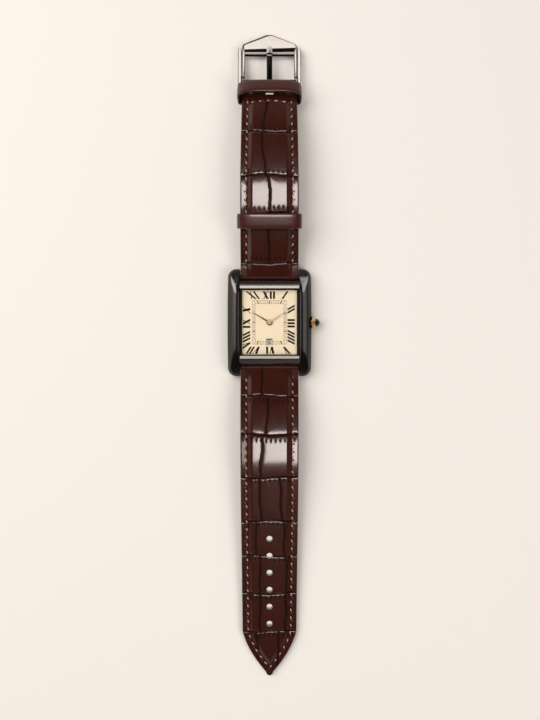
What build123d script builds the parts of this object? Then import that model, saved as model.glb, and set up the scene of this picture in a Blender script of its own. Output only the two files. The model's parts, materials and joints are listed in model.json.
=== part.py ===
from build123d import *
import math
import os

os.makedirs("parts", exist_ok=True)

# Rectangular dress watch, in millimetres. +X points to the crown, +Y to 12, +Z out of the dial.
# The origin is on the axis of the hands, at the outer face of the case back.

# Case middle
case_width = 28.4
case_length = 36.2
case_corner_radius = 2.8
case_foot_inset = 0.9
case_floor_height = 0.35
belt_height = 2.7
shoulder_inset = 1.0
shoulder_height = 5.0
crest_height = 5.85
crest_inset = 2.6
lug_tip_height = 3.5
lug_tip_floor = 0.9
lug_drop_start = 9.0
lug_width = 4.2
lug_length = 4.1
strap_lug_stand_off = 0.2
bar_height = 2.6
crossbar_top = 5.15
crossbar_foot = 3.9

# Back
back_side_wall = 2.2
back_length = 26.6
back_thickness = 1.0
back_corner_radius = 2.0
back_edge_round = 0.35
back_gap = 0.05
back_gasket_width = 0.4
back_gasket_height = 0.4
back_screw_inset = 1.0
back_screw_pitch_y = 21.0
back_screw_radius = 0.4
back_screw_head_radius = 0.75
back_screw_head_height = 0.5
back_screw_length = 2.6
screw_slot_width = 0.2
screw_slot_depth = 0.2

# Crystal, its gasket and the frame below it
crystal_side_wall = 1.7
crystal_length = 24.4
crystal_thickness = 1.2
crystal_base = 5.0
crystal_bevel_run = 0.9
crystal_bevel_drop = 0.55
crystal_gap = 0.1
crystal_gasket_width = 0.5
crystal_gasket_height = 0.25
window_side_border = 0.7
window_length = 21.6
flange_wall = 0.25
flange_border = 0.75
flange_gap = 0.05

# Dial and hands
cavity_clearance = 0.1
cavity_length = 24.4
dial_gap = 0.2
dial_thickness = 0.4
dial_top = 4.0
dial_centre_hole = 1.4
dial_foot_radius = 0.3
dial_foot_length = 0.5
dial_foot_x = 8.9
dial_foot_y = 10.6
date_window_width = 2.0
date_window_length = 2.3
date_window_centre = 6.6
hour_hand_length = 5.3
hour_hand_width = 0.62
hour_hand_base = 4.22
minute_hand_length = 6.2
minute_hand_width = 0.5
minute_hand_base = 4.52
hand_thickness = 0.12
hand_hub_radius = 1.05
hand_tail = 1.5
hand_tip_width = 0.1
hour_hand_clock_angle = 300.3
minute_hand_clock_angle = 56.6

# Movement
movement_width = 17.0
movement_length = 19.4
movement_corner_radius = 2.2
movement_gap = 0.05
main_plate_base = 2.3
main_plate_thickness = 0.5
bridge_base = 1.05
bridge_thickness = 0.18
pivot_radius = 0.15
arbor_radius = 0.22
pivot_gap = 0.03
train_module = 0.1
rotor_module = 0.08
motion_module = 0.12
wheel_thickness = 0.15
centre_wheel_teeth = 36
third_pinion_teeth = 12
third_wheel_teeth = 32
second_pinion_teeth = 16
second_wheel_teeth = 48
rotor_pinion_teeth = 8
cannon_teeth = 10
minute_wheel_teeth = 30
minute_pinion_teeth = 8
hour_wheel_teeth = 32
date_pinion_teeth = 16
date_wheel_teeth = 32
third_direction = 250.0
second_direction = 200.0
rotor_direction = 250.0
minute_wheel_direction = 140.0
date_wheel_direction = 215.0
centre_wheel_base = 1.95
third_wheel_base = 1.65
second_wheel_base = 1.38
motion_base = 2.84
hour_wheel_base = 3.02
date_pinion_base = 3.2
cannon_radius = 0.35
cannon_top = 4.72
hour_pipe_radius = 0.62
hour_pipe_top = 4.34
pipe_gap = 0.05
post_top = 3.3
rotor_magnet_radius = 0.45
rotor_magnet_base = 1.72
rotor_magnet_height = 0.4
stator_base = 1.84
stator_thickness = 0.18
stator_width = 2.2
stator_gap = 0.2
coil_core_length = 12.4
coil_core_width = 1.0
coil_y = -8.2
coil_radius = 0.45
coil_length = 8.4
battery_radius = 3.4
battery_thickness = 1.1
battery_base = 1.13
battery_x = -4.6
battery_y = 5.6
clamp_thickness = 0.08
clamp_base = 1.03
clamp_length = 9.0
clamp_width = 1.8
board_width = 5.2
board_length = 8.6
board_thickness = 0.2
board_base = 1.1
board_x = 5.7
board_y = -4.6
board_corner_radius = 2.0
quartz_radius = 0.45
quartz_length = 3.4
quartz_x = 3.2
quartz_y = -7.15
plate_screw_radius = 0.22
plate_screw_head_radius = 0.42
plate_screw_head_height = 0.12
bridge_width = 9.3
bridge_length = 8.5
bridge_x = -1.75
bridge_y = -2.15
bridge_corner_radius = 1.0
bridge_pillar_radius = 0.57
bridge_pillars = [(-5.7, 1.3), (2.2, 1.45), (2.2, -3.3)]
date_rim_radius = 8.06
date_ring_outer = 8.0
date_ring_inner = 5.4
date_ring_base = 3.24
date_ring_thickness = 0.16
date_teeth = 31
date_tooth_depth = 0.3
cover_base = 3.43
cover_thickness = 0.12
cover_radius = 5.9
cover_pillar_radius = 0.3
cover_pillar_reach = 5.0
cover_pillar_directions = [60.0, 170.0, 300.0]
ring_ledge_inner = 7.2
ring_ledge_top = 3.2
stem_slot_width = 1.8
stem_slot_start = 3.6
lever_room = 3.2
jumper_width = 0.2
jumper_foot_reach = 4.3
jumper_foot_direction = 112.0
jumper_beak_reach = 5.2
jumper_beak_direction = 78.0

# Crown and stem
stem_height = 2.45
stem_radius = 0.4
stem_inner_end = 4.2
stem_groove_radius = 0.28
stem_groove_length = 0.8
stem_groove_x = 7.0
stem_square_side = 0.5
clutch_radius = 0.7
clutch_length = 1.1
clutch_x = 4.5
clutch_teeth = 12
stem_gap = 0.04
tube_radius = 0.85
tube_wall = 0.2
tube_stand = 0.7
tube_length = 2.4
crown_radius = 2.05
crown_length = 0.75
crown_gap = 0.15
crown_lobes = 24
crown_flute_depth = 0.2
crown_collar_radius = 1.55
crown_collar_length = 0.35
cabochon_radius = 1.4
cabochon_wall = 0.35
cabochon_dome = 1.3
crown_pull = 0.9
crown_gasket_length = 0.4
lever_arm = 2.2
lever_base = 2.93
lever_thickness = 0.14
lever_width = 0.7
lever_pin_radius = 0.14
lever_pin_length = 0.3

# Spring bars
spring_bar_radius = 0.75
spring_bar_tip_radius = 0.4
spring_bar_tip_length = 0.9
spring_bar_tip_inside = 1.5
spring_bar_wall = 0.2
spring_bar_end_gap = 0.25
spring_bar_coils = 5
lug_hole_radius = 0.45
strap_bore_gap = 0.06

# Strap
strap_side_gap = 0.25
strap_mid_narrowing = 0.2
strap_end_narrowing = 1.3
strap_tip_narrowing = 1.2
strap_lug_thickness = 4.0
strap_end_thickness = 2.4
strap_tip_thickness = 2.2
strap_fold_radius = 2.0
lining_thickness = 0.7
filler_thickness = 0.7
filler_width = 11.0
pad_edge_inset = 2.1
pad_slope_run = 1.9
short_strap_reach = 64.4
short_strap_rise = 6.0
buckle_bar_height = 3.0
strap_end_fold_radius = 1.45
prong_slot_width = 2.6
prong_slot_length = 5.0
long_arch_radius = 80.0
long_arch_start = 18.0
long_arch_end = 8.0
long_tip_height = 1.1
long_tip_overrun = 1.6
tip_point_length = 15.0
tip_point_radius = 1.2
strap_hole_radius = 1.0
strap_hole_count = 6
strap_hole_pitch = 5.85
first_hole_distance = 72.8

# Keepers
keeper_wall = 0.8
keeper_length = 4.7
keeper_side_gap = 0.45
keeper_corner_radius = 1.1
free_keeper_distance = 17.2
fixed_keeper_setback = 4.5
keeper_height = 7.0
keeper_skin_gap = 0.45

# Buckle
buckle_ear_wall = 1.4
buckle_rail_width = 2.4
buckle_thickness = 1.9
buckle_ear_gap = 0.2
buckle_ear_length = 2.4
buckle_ear_radius = 1.3
buckle_rail_length = 12.4
buckle_shoulder_u = 13.9
buckle_shoulder_inset = 2.0
buckle_apex_u = 17.3
buckle_apex_width = 2.4
buckle_window_u = 10.3
buckle_rim_radius = 0.75
buckle_plate_thickness = 1.2
prong_radius = 0.92
prong_length = 12.6
prong_hub_radius = 1.25
prong_tip_radius = 1.0
prong_tip_rise = 2.0

# Lines that several pieces share
half_width = case_width / 2
half_length = case_length / 2
case_foot_width = case_width - 2 * case_foot_inset
shoulder_width = case_width - 2 * shoulder_inset
crest_width = case_width - 2 * crest_inset
lug_gap = case_width - 2 * lug_width
body_length = case_length - 2 * lug_length
back_width = case_width - 2 * back_side_wall
back_screw_pitch_x = back_width - 2 * back_screw_inset
crystal_width = crest_width - 2 * crystal_side_wall
window_width = crystal_width - 2 * window_side_border
cavity_width = crystal_width + 2 * cavity_clearance
strap_lug_width = lug_gap - 2 * strap_side_gap
strap_mid_width = strap_lug_width - strap_mid_narrowing
strap_end_width = strap_lug_width - strap_end_narrowing
strap_tip_width = strap_lug_width - strap_tip_narrowing
buckle_width = strap_end_width + 2 * (buckle_ear_gap + buckle_ear_wall)
buckle_shoulder_width = buckle_width - 2 * buckle_shoulder_inset
flank_draft = math.degrees(math.atan2(shoulder_inset, shoulder_height - belt_height))
side_bow_share = 0.982
gasket_seat = crystal_base - crystal_gasket_height
seat_width = crystal_width + 2 * crystal_gap
seat_length = crystal_length + 2 * crystal_gap
flange_width = window_width + 2 * flange_wall
flange_length = window_length + 2 * flange_border
dial_base = dial_top - dial_thickness
hidden_sides = 12
screw_head_sides = 16
bar_y = body_length / 2 + strap_fold_radius + strap_lug_stand_off
plate_top = main_plate_base + main_plate_thickness


def polar(radius, degrees, centre=(0, 0)):
    """Point at a distance and direction from a centre, in the dial's plane."""
    return (
        centre[0] + radius * math.cos(math.radians(degrees)),
        centre[1] + radius * math.sin(math.radians(degrees)),
    )


# Case middle: four lugs, two domed side bars and the two sloped bars at 12 and 6
foot_run = case_foot_inset
with BuildPart() as case_middle:
    with BuildSketch(Plane.XY.offset(case_floor_height)) as case_plan:
        with BuildLine():
            ThreePointArc(
                (half_width * side_bow_share, -half_length),
                (half_width, 0),
                (half_width * side_bow_share, half_length),
            )
            Line(
                (half_width * side_bow_share, half_length),
                (-half_width * side_bow_share, half_length),
            )
            ThreePointArc(
                (-half_width * side_bow_share, half_length),
                (-half_width, 0),
                (-half_width * side_bow_share, -half_length),
            )
            Line(
                (-half_width * side_bow_share, -half_length),
                (half_width * side_bow_share, -half_length),
            )
        make_face()
        fillet(case_plan.vertices(), case_corner_radius)
    extrude(amount=belt_height - case_floor_height)
    belt_face = case_middle.faces().sort_by(Axis.Z)[-1]
    extrude(belt_face, amount=crest_height - belt_height, taper=flank_draft)
    with BuildSketch(Plane.XZ):
        with BuildLine():
            Polyline(
                (0, crossbar_top),
                (0, case_floor_height),
                (case_foot_width / 2, case_floor_height),
                (half_width, case_floor_height + foot_run),
                (half_width, belt_height),
                (shoulder_width / 2, shoulder_height),
            )
            ThreePointArc(
                (shoulder_width / 2, shoulder_height),
                (crest_width / 2, crest_height),
                (lug_gap / 2, crossbar_top),
            )
            Line((lug_gap / 2, crossbar_top), (0, crossbar_top))
        make_face()
        mirror(about=Plane.YZ)
    extrude(amount=case_length, both=True, mode=Mode.INTERSECT)
    with BuildSketch(Plane.YZ):
        with BuildLine():
            Polyline((lug_drop_start, crest_height), (0, crest_height), (0, case_floor_height))
            Line((0, case_floor_height), (body_length / 2, case_floor_height))
            Polyline(
                (body_length / 2, case_floor_height),
                (half_length, lug_tip_floor),
                (half_length, lug_tip_height),
            )
            ThreePointArc(
                (half_length, lug_tip_height),
                (bar_y - spring_bar_radius, (crest_height + lug_tip_height) / 2 + lug_hole_radius),
                (lug_drop_start, crest_height),
            )
        make_face()
        mirror(about=Plane.YZ)
    extrude(amount=case_width, both=True, mode=Mode.INTERSECT)
    with BuildSketch(Plane.YZ):
        for end in (-1, 1):
            Polygon(
                (end * seat_length / 2, crossbar_top),
                (end * seat_length / 2, crest_height),
                (end * half_length, crest_height),
                (end * half_length, -crest_height),
                (end * body_length / 2, -crest_height),
                (end * body_length / 2, crossbar_foot),
                align=None,
            )
    extrude(amount=lug_gap / 2, both=True, mode=Mode.SUBTRACT)
    with BuildSketch(Plane.XY.offset(gasket_seat)):
        Rectangle(seat_width, seat_length)
    extrude(amount=crest_height, mode=Mode.SUBTRACT)
    with BuildSketch(Plane.XY.offset(dial_top)):
        Rectangle(flange_width + 2 * flange_gap, flange_length + 2 * flange_gap)
    extrude(amount=crest_height, mode=Mode.SUBTRACT)
    with BuildSketch():
        Rectangle(cavity_width, cavity_length)
    extrude(amount=dial_top, mode=Mode.SUBTRACT)
    with BuildSketch():
        Rectangle(cavity_width + 2 * back_gasket_width, cavity_length + 2 * back_gasket_width)
    extrude(amount=back_thickness + back_gasket_height, mode=Mode.SUBTRACT)
    with BuildSketch():
        RectangleRounded(back_width + 2 * back_gap, back_length + 2 * back_gap, back_corner_radius)
    extrude(amount=back_thickness, mode=Mode.SUBTRACT)
    with BuildSketch():
        with GridLocations(back_screw_pitch_x, back_screw_pitch_y, 2, 2):
            RegularPolygon(back_screw_radius + 2 * back_gap, hidden_sides)
    extrude(amount=back_screw_length + back_gap, mode=Mode.SUBTRACT)
    for end in (-1, 1):
        with BuildSketch(Plane.YZ):
            with Locations((end * bar_y, bar_height)):
                Circle(lug_hole_radius)
        extrude(amount=lug_gap / 2 + spring_bar_tip_length, both=True, mode=Mode.SUBTRACT)
    with BuildSketch(Plane.YZ.offset(cavity_width / 2 - back_gasket_width)):
        with Locations((0, stem_height)):
            Circle(tube_radius)
    extrude(amount=case_width, mode=Mode.SUBTRACT)
case_middle.part.label = "case_middle"
export_step(case_middle.part, "parts/case_middle.step")

# Crystal: flat slab with a bevel along its ends at 12 and 6
crystal_top = crystal_base + crystal_thickness
with BuildPart() as crystal:
    with BuildSketch(Plane.YZ):
        with BuildLine():
            Polyline(
                (0, crystal_base),
                (crystal_length / 2, crystal_base),
                (crystal_length / 2, crystal_top - crystal_bevel_drop),
                (crystal_length / 2 - crystal_bevel_run, crystal_top),
                (0, crystal_top),
                (0, crystal_base),
            )
        make_face()
        mirror(about=Plane.YZ)
    extrude(amount=crystal_width / 2, both=True)
crystal.part.label = "crystal"
export_step(crystal.part, "parts/crystal.step")


def frame_part(base, height, outside, inside):
    """Flat rectangular frame between two rectangles, each given as width and length."""
    with BuildPart() as frame_piece:
        with BuildSketch(Plane.XY.offset(base)):
            Rectangle(*outside)
            Rectangle(*inside, mode=Mode.SUBTRACT)
        extrude(amount=height)
    return frame_piece


# Seals of the crystal and of the back, and the dark frame that stands on the dial
crystal_gasket = frame_part(
    gasket_seat,
    crystal_gasket_height,
    (seat_width, seat_length),
    (seat_width - 2 * crystal_gasket_width, seat_length - 2 * crystal_gasket_width),
)
crystal_gasket.part.label = "crystal_gasket"
export_step(crystal_gasket.part, "parts/crystal_gasket.step")

dial_flange = frame_part(
    dial_top,
    gasket_seat - dial_top - flange_gap,
    (flange_width, flange_length),
    (window_width, window_length),
)
dial_flange.part.label = "dial_flange"
export_step(dial_flange.part, "parts/dial_flange.step")

case_back_gasket = frame_part(
    back_thickness,
    back_gasket_height,
    (cavity_width + 2 * back_gasket_width, cavity_length + 2 * back_gasket_width),
    (cavity_width, cavity_length),
)
case_back_gasket.part.label = "case_back_gasket"
export_step(case_back_gasket.part, "parts/case_back_gasket.step")

# Case back and its four screws
with BuildPart() as case_back:
    with BuildSketch():
        RectangleRounded(back_width, back_length, back_corner_radius)
    extrude(amount=back_thickness)
    chamfer(case_back.faces().sort_by(Axis.Z)[0].edges(), back_edge_round)
    with BuildSketch():
        with GridLocations(back_screw_pitch_x, back_screw_pitch_y, 2, 2):
            RegularPolygon(back_screw_head_radius + 2 * back_gap, screw_head_sides)
    extrude(amount=back_screw_head_height, mode=Mode.SUBTRACT)
    with BuildSketch():
        with GridLocations(back_screw_pitch_x, back_screw_pitch_y, 2, 2):
            RegularPolygon(back_screw_radius + 2 * back_gap, hidden_sides)
    extrude(amount=back_thickness, mode=Mode.SUBTRACT)
case_back.part.label = "case_back"
export_step(case_back.part, "parts/case_back.step")

with BuildPart() as case_back_screws:
    with BuildSketch():
        with GridLocations(back_screw_pitch_x, back_screw_pitch_y, 2, 2):
            RegularPolygon(back_screw_head_radius, screw_head_sides)
    extrude(amount=back_screw_head_height)
    with BuildSketch():
        with GridLocations(back_screw_pitch_x, back_screw_pitch_y, 2, 2):
            RegularPolygon(back_screw_radius, hidden_sides)
    extrude(amount=back_screw_length)
    with BuildSketch():
        with GridLocations(back_screw_pitch_x, back_screw_pitch_y, 2, 2):
            Rectangle(2 * back_screw_head_radius, screw_slot_width)
    extrude(amount=screw_slot_depth, mode=Mode.SUBTRACT)
case_back_screws.part.label = "case_back_screws"
export_step(case_back_screws.part, "parts/case_back_screws.step")

# Dial with two feet, the centre hole and the date window
with BuildPart() as dial:
    with BuildSketch(Plane.XY.offset(dial_base)):
        Rectangle(cavity_width - 2 * dial_gap, cavity_length - 2 * dial_gap)
    extrude(amount=dial_thickness)
    with BuildSketch(Plane.XY.offset(dial_base)):
        with Locations((dial_foot_x, dial_foot_y), (-dial_foot_x, -dial_foot_y)):
            RegularPolygon(dial_foot_radius, hidden_sides)
    extrude(amount=-dial_foot_length)
    with BuildSketch(Plane.XY.offset(dial_base)):
        Circle(dial_centre_hole / 2)
        with Locations((0, -date_window_centre)):
            Rectangle(date_window_width, date_window_length)
    extrude(amount=dial_thickness, mode=Mode.SUBTRACT)
dial.part.label = "dial"
export_step(dial.part, "parts/dial.step")


def hand_part(length, width, base, bore, clock_angle):
    """Tapered hand with a ring hub and a short tail, turned to its place on the dial."""
    heading = 90 - clock_angle
    with BuildPart() as hand:
        with BuildSketch(Plane.XY.offset(base).rotated((0, 0, heading))):
            Polygon(
                (-hand_tail, -width / 2),
                (0, -width / 2),
                (length, -hand_tip_width / 2),
                (length, hand_tip_width / 2),
                (0, width / 2),
                (-hand_tail, width / 2),
                align=None,
            )
            Circle(hand_hub_radius)
            Circle(bore, mode=Mode.SUBTRACT)
        extrude(amount=hand_thickness)
    return hand


hour_hand = hand_part(
    hour_hand_length, hour_hand_width, hour_hand_base, hour_pipe_radius, hour_hand_clock_angle
)
hour_hand.part.label = "hour_hand"
export_step(hour_hand.part, "parts/hour_hand.step")

minute_hand = hand_part(
    minute_hand_length, minute_hand_width, minute_hand_base, cannon_radius, minute_hand_clock_angle
)
minute_hand.part.label = "minute_hand"
export_step(minute_hand.part, "parts/minute_hand.step")

# Places of the wheels, each worked out from the teeth that mesh
third_place = polar(train_module * (centre_wheel_teeth + third_pinion_teeth) / 2, third_direction)
second_place = polar(
    train_module * (third_wheel_teeth + second_pinion_teeth) / 2, second_direction, third_place
)
rotor_place = polar(
    rotor_module * (second_wheel_teeth + rotor_pinion_teeth) / 2, rotor_direction, second_place
)
minute_wheel_place = polar(
    motion_module * (cannon_teeth + minute_wheel_teeth) / 2, minute_wheel_direction
)
date_wheel_place = polar(
    motion_module * (date_pinion_teeth + date_wheel_teeth) / 2, date_wheel_direction
)
tooth_height_share = 0.9
tooth_root_share = 1.15
tooth_base_share = 0.3
tooth_tip_share = 0.11


def toothed_disc(teeth, module, tooth_direction, centre=(0, 0)):
    """Gear face with straight flanks, drawn into the open sketch; one tooth points in tooth_direction."""
    pitch_radius = module * teeth / 2
    root = pitch_radius - tooth_root_share * module
    tip = pitch_radius + tooth_height_share * module
    base_turn = math.degrees(tooth_base_share * math.pi * module / root)
    tip_turn = math.degrees(tooth_tip_share * math.pi * module / tip)
    outline = []
    for tooth in range(teeth):
        middle = tooth_direction + tooth * 360 / teeth
        outline.append(polar(root, middle - base_turn, centre))
        outline.append(polar(tip, middle - tip_turn, centre))
        outline.append(polar(tip, middle + tip_turn, centre))
        outline.append(polar(root, middle + base_turn, centre))
    Polygon(*outline, align=None)


def small_round(radius):
    """Round of a hidden pivot, screw or pin, drawn into the open sketch with a few flats."""
    RegularPolygon(radius, hidden_sides)


def half_tooth(teeth):
    """Half of the angle from one tooth to the next."""
    return 180 / teeth


# Movement ring between the movement and the case
with BuildPart() as movement_holder:
    with BuildSketch(Plane.XY.offset(back_thickness)):
        Rectangle(cavity_width - 2 * movement_gap, cavity_length - 2 * movement_gap)
        RectangleRounded(
            movement_width + 2 * movement_gap,
            movement_length + 2 * movement_gap,
            movement_corner_radius + movement_gap,
            mode=Mode.SUBTRACT,
        )
    extrude(amount=dial_base - back_thickness)
    with BuildSketch(Plane.YZ.offset(movement_width / 2 - movement_gap)):
        with Locations((0, stem_height)):
            Rectangle(stem_slot_width, stem_slot_width)
    extrude(amount=cavity_width, mode=Mode.SUBTRACT)
    with BuildSketch(Plane.XY.offset(dial_base)):
        with Locations((dial_foot_x, dial_foot_y), (-dial_foot_x, -dial_foot_y)):
            small_round(dial_foot_radius + movement_gap)
    extrude(amount=-dial_foot_length - movement_gap, mode=Mode.SUBTRACT)
movement_holder.part.label = "movement_holder"
export_step(movement_holder.part, "parts/movement_holder.step")

# Main plate with the seat of the date ring, the posts and the channel for the stem
lever_place = (stem_groove_x + stem_groove_length / 2, lever_arm)
with BuildPart() as main_plate:
    with BuildSketch(Plane.XY.offset(main_plate_base)):
        RectangleRounded(movement_width, movement_length, movement_corner_radius)
    extrude(amount=main_plate_thickness)
    with BuildSketch(Plane.XY.offset(plate_top)):
        RectangleRounded(movement_width, movement_length, movement_corner_radius)
        Circle(date_rim_radius, mode=Mode.SUBTRACT)
    extrude(amount=cover_base - plate_top)
    with BuildSketch(Plane.XY.offset(plate_top)):
        Circle(date_rim_radius)
        Circle(ring_ledge_inner, mode=Mode.SUBTRACT)
    extrude(amount=ring_ledge_top - plate_top)
    with BuildSketch(Plane.XY.offset(plate_top)):
        for direction in cover_pillar_directions:
            with Locations(polar(cover_pillar_reach, direction)):
                small_round(cover_pillar_radius)
    extrude(amount=cover_base - plate_top)
    with BuildSketch(Plane.XY.offset(plate_top)):
        with Locations((lever_place[0], lever_place[1] / 2)):
            Rectangle(movement_width - 2 * stem_groove_x, lever_arm + lever_room)
    extrude(amount=ring_ledge_top - plate_top, mode=Mode.SUBTRACT)
    with BuildSketch(Plane.XY.offset(plate_top)):
        with Locations(minute_wheel_place, date_wheel_place, lever_place):
            Circle(pivot_radius)
    extrude(amount=post_top - plate_top)
    with BuildSketch(Plane.XY.offset(main_plate_base)):
        with Locations(((stem_slot_start + movement_width / 2) / 2 + stem_slot_width / 2, 0)):
            Rectangle(movement_width / 2 - stem_slot_start + stem_slot_width, stem_slot_width)
    extrude(amount=ring_ledge_top - main_plate_base, mode=Mode.SUBTRACT)
    with BuildSketch(Plane.XY.offset(main_plate_base)):
        small_round(cannon_radius + pipe_gap)
        with Locations(third_place, second_place):
            small_round(pivot_radius + pivot_gap)
        with Locations(*bridge_pillars):
            small_round(plate_screw_radius + pivot_gap)
    extrude(amount=main_plate_thickness, mode=Mode.SUBTRACT)
main_plate.part.label = "main_plate"
export_step(main_plate.part, "parts/main_plate.step")

# Train bridge on three pillars, and its screws
with BuildPart() as train_bridge:
    with BuildSketch(Plane.XY.offset(bridge_base)):
        with Locations((bridge_x, bridge_y)):
            RectangleRounded(bridge_width, bridge_length, bridge_corner_radius)
    extrude(amount=bridge_thickness)
    with BuildSketch(Plane.XY.offset(bridge_base)):
        with Locations(*bridge_pillars):
            small_round(bridge_pillar_radius)
    extrude(amount=main_plate_base - bridge_base)
    with BuildSketch(Plane.XY.offset(bridge_base)):
        with Locations(*bridge_pillars):
            small_round(plate_screw_radius + pivot_gap)
        with Locations((0, 0), third_place, second_place, rotor_place):
            small_round(pivot_radius + pivot_gap)
    extrude(amount=main_plate_base - bridge_base, mode=Mode.SUBTRACT)
    with BuildSketch(Plane.XY.offset(bridge_base)):
        with Locations(*bridge_pillars):
            small_round(plate_screw_head_radius + pivot_gap)
    extrude(amount=plate_screw_head_height, mode=Mode.SUBTRACT)
train_bridge.part.label = "train_bridge"
export_step(train_bridge.part, "parts/train_bridge.step")

with BuildPart() as movement_screws:
    with BuildSketch(Plane.XY.offset(bridge_base)):
        with Locations(*bridge_pillars):
            small_round(plate_screw_head_radius)
    extrude(amount=plate_screw_head_height)
    with BuildSketch(Plane.XY.offset(bridge_base)):
        with Locations(*bridge_pillars):
            small_round(plate_screw_radius)
    extrude(amount=plate_top - bridge_base)
movement_screws.part.label = "movement_screws"
export_step(movement_screws.part, "parts/movement_screws.step")


def arbor(place, base, top, radius):
    """Round shaft from one height to another, inside the open part."""
    with BuildSketch(Plane.XY.offset(base)) as shaft:
        with Locations(place):
            Circle(radius)
    extrude(shaft.sketch, amount=top - base)


# Centre wheel with the cannon that carries the minute hand
pivot_base = bridge_base + pivot_gap
arbor_top = main_plate_base - pivot_gap
with BuildPart() as centre_wheel:
    arbor((0, 0), pivot_base, centre_wheel_base, pivot_radius)
    arbor((0, 0), centre_wheel_base, cannon_top, cannon_radius)
    with BuildSketch(Plane.XY.offset(centre_wheel_base)):
        toothed_disc(centre_wheel_teeth, train_module, third_direction)
    extrude(amount=wheel_thickness)
    with BuildSketch(Plane.XY.offset(motion_base)):
        toothed_disc(cannon_teeth, motion_module, minute_wheel_direction)
    extrude(amount=wheel_thickness)
centre_wheel.part.label = "centre_wheel"
export_step(centre_wheel.part, "parts/centre_wheel.step")


def train_wheel(place, wheel, pinion):
    """Wheel and pinion on one arbor, each given as teeth, module, base, tooth direction and height."""
    with BuildPart() as built:
        arbor(place, pivot_base, plate_top - pivot_gap, pivot_radius)
        for teeth, module, base, direction, height in (wheel, pinion):
            with BuildSketch(Plane.XY.offset(base)):
                toothed_disc(teeth, module, direction, place)
            extrude(amount=height)
    return built


third_wheel = train_wheel(
    third_place,
    (third_wheel_teeth, train_module, third_wheel_base, second_direction, wheel_thickness),
    (
        third_pinion_teeth,
        train_module,
        centre_wheel_base - pivot_gap,
        third_direction + 180 + half_tooth(third_pinion_teeth),
        wheel_thickness + 2 * pivot_gap,
    ),
)
third_wheel.part.label = "third_wheel"
export_step(third_wheel.part, "parts/third_wheel.step")

second_wheel = train_wheel(
    second_place,
    (second_wheel_teeth, rotor_module, second_wheel_base, rotor_direction, wheel_thickness),
    (
        second_pinion_teeth,
        train_module,
        third_wheel_base - pivot_gap,
        second_direction + 180 + half_tooth(second_pinion_teeth),
        wheel_thickness + 2 * pivot_gap,
    ),
)
second_wheel.part.label = "intermediate_wheel"
export_step(second_wheel.part, "parts/intermediate_wheel.step")

# Rotor: magnet and pinion on one arbor
with BuildPart() as rotor:
    arbor(rotor_place, pivot_base, arbor_top, pivot_radius)
    with BuildSketch(Plane.XY.offset(second_wheel_base - pivot_gap)):
        toothed_disc(
            rotor_pinion_teeth,
            rotor_module,
            rotor_direction + 180 + half_tooth(rotor_pinion_teeth),
            rotor_place,
        )
    extrude(amount=wheel_thickness + 2 * pivot_gap)
    arbor(rotor_place, rotor_magnet_base, rotor_magnet_base + rotor_magnet_height, rotor_magnet_radius)
rotor.part.label = "rotor"
export_step(rotor.part, "parts/rotor.step")

# Motion work below the dial: minute wheel and hour wheel
with BuildPart() as minute_wheel:
    with BuildSketch(Plane.XY.offset(motion_base)):
        toothed_disc(
            minute_wheel_teeth,
            motion_module,
            minute_wheel_direction + 180 + half_tooth(minute_wheel_teeth),
            minute_wheel_place,
        )
    extrude(amount=wheel_thickness)
    with BuildSketch(Plane.XY.offset(motion_base)):
        toothed_disc(
            minute_pinion_teeth, motion_module, minute_wheel_direction + 180, minute_wheel_place
        )
    extrude(amount=hour_wheel_base + wheel_thickness - motion_base)
    with BuildSketch(Plane.XY.offset(motion_base)):
        with Locations(minute_wheel_place):
            Circle(pivot_radius + pivot_gap)
    extrude(amount=post_top - motion_base, mode=Mode.SUBTRACT)
minute_wheel.part.label = "minute_wheel"
export_step(minute_wheel.part, "parts/minute_wheel.step")

with BuildPart() as hour_wheel:
    with BuildSketch(Plane.XY.offset(hour_wheel_base)):
        toothed_disc(
            hour_wheel_teeth, motion_module, minute_wheel_direction + half_tooth(hour_wheel_teeth)
        )
    extrude(amount=wheel_thickness)
    with BuildSketch(Plane.XY.offset(hour_wheel_base)):
        toothed_disc(date_pinion_teeth, motion_module, date_wheel_direction)
    extrude(amount=date_pinion_base + wheel_thickness - hour_wheel_base)
    arbor((0, 0), hour_wheel_base, hour_pipe_top, hour_pipe_radius)
    with BuildSketch(Plane.XY.offset(hour_wheel_base)):
        small_round(cannon_radius + pipe_gap)
    extrude(amount=hour_pipe_top, mode=Mode.SUBTRACT)
hour_wheel.part.label = "hour_wheel"
export_step(hour_wheel.part, "parts/hour_wheel.step")

# Date work: driving wheel, numbered ring, jumper spring and cover
with BuildPart() as date_wheel:
    with BuildSketch(Plane.XY.offset(date_pinion_base)):
        toothed_disc(
            date_wheel_teeth,
            motion_module,
            date_wheel_direction + 180 + half_tooth(date_wheel_teeth),
            date_wheel_place,
        )
    extrude(amount=wheel_thickness)
    with BuildSketch(Plane.XY.offset(motion_base + wheel_thickness + pivot_gap)):
        with Locations(date_wheel_place):
            small_round(2 * arbor_radius)
    extrude(amount=date_pinion_base - motion_base - wheel_thickness - pivot_gap)
    with BuildSketch(Plane.XY.offset(motion_base)):
        with Locations(date_wheel_place):
            Circle(pivot_radius + pivot_gap)
    extrude(amount=post_top, mode=Mode.SUBTRACT)
date_wheel.part.label = "date_driving_wheel"
export_step(date_wheel.part, "parts/date_driving_wheel.step")

with BuildPart() as date_ring:
    with BuildSketch(Plane.XY.offset(date_ring_base)):
        Circle(date_ring_outer)
        RegularPolygon(date_ring_inner, date_teeth, rotation=180 / date_teeth, mode=Mode.SUBTRACT)
        with PolarLocations(date_ring_inner, date_teeth):
            Rectangle(2 * date_tooth_depth, date_tooth_depth, mode=Mode.SUBTRACT)
    extrude(amount=date_ring_thickness)
date_ring.part.label = "date_ring"
export_step(date_ring.part, "parts/date_ring.step")

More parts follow.
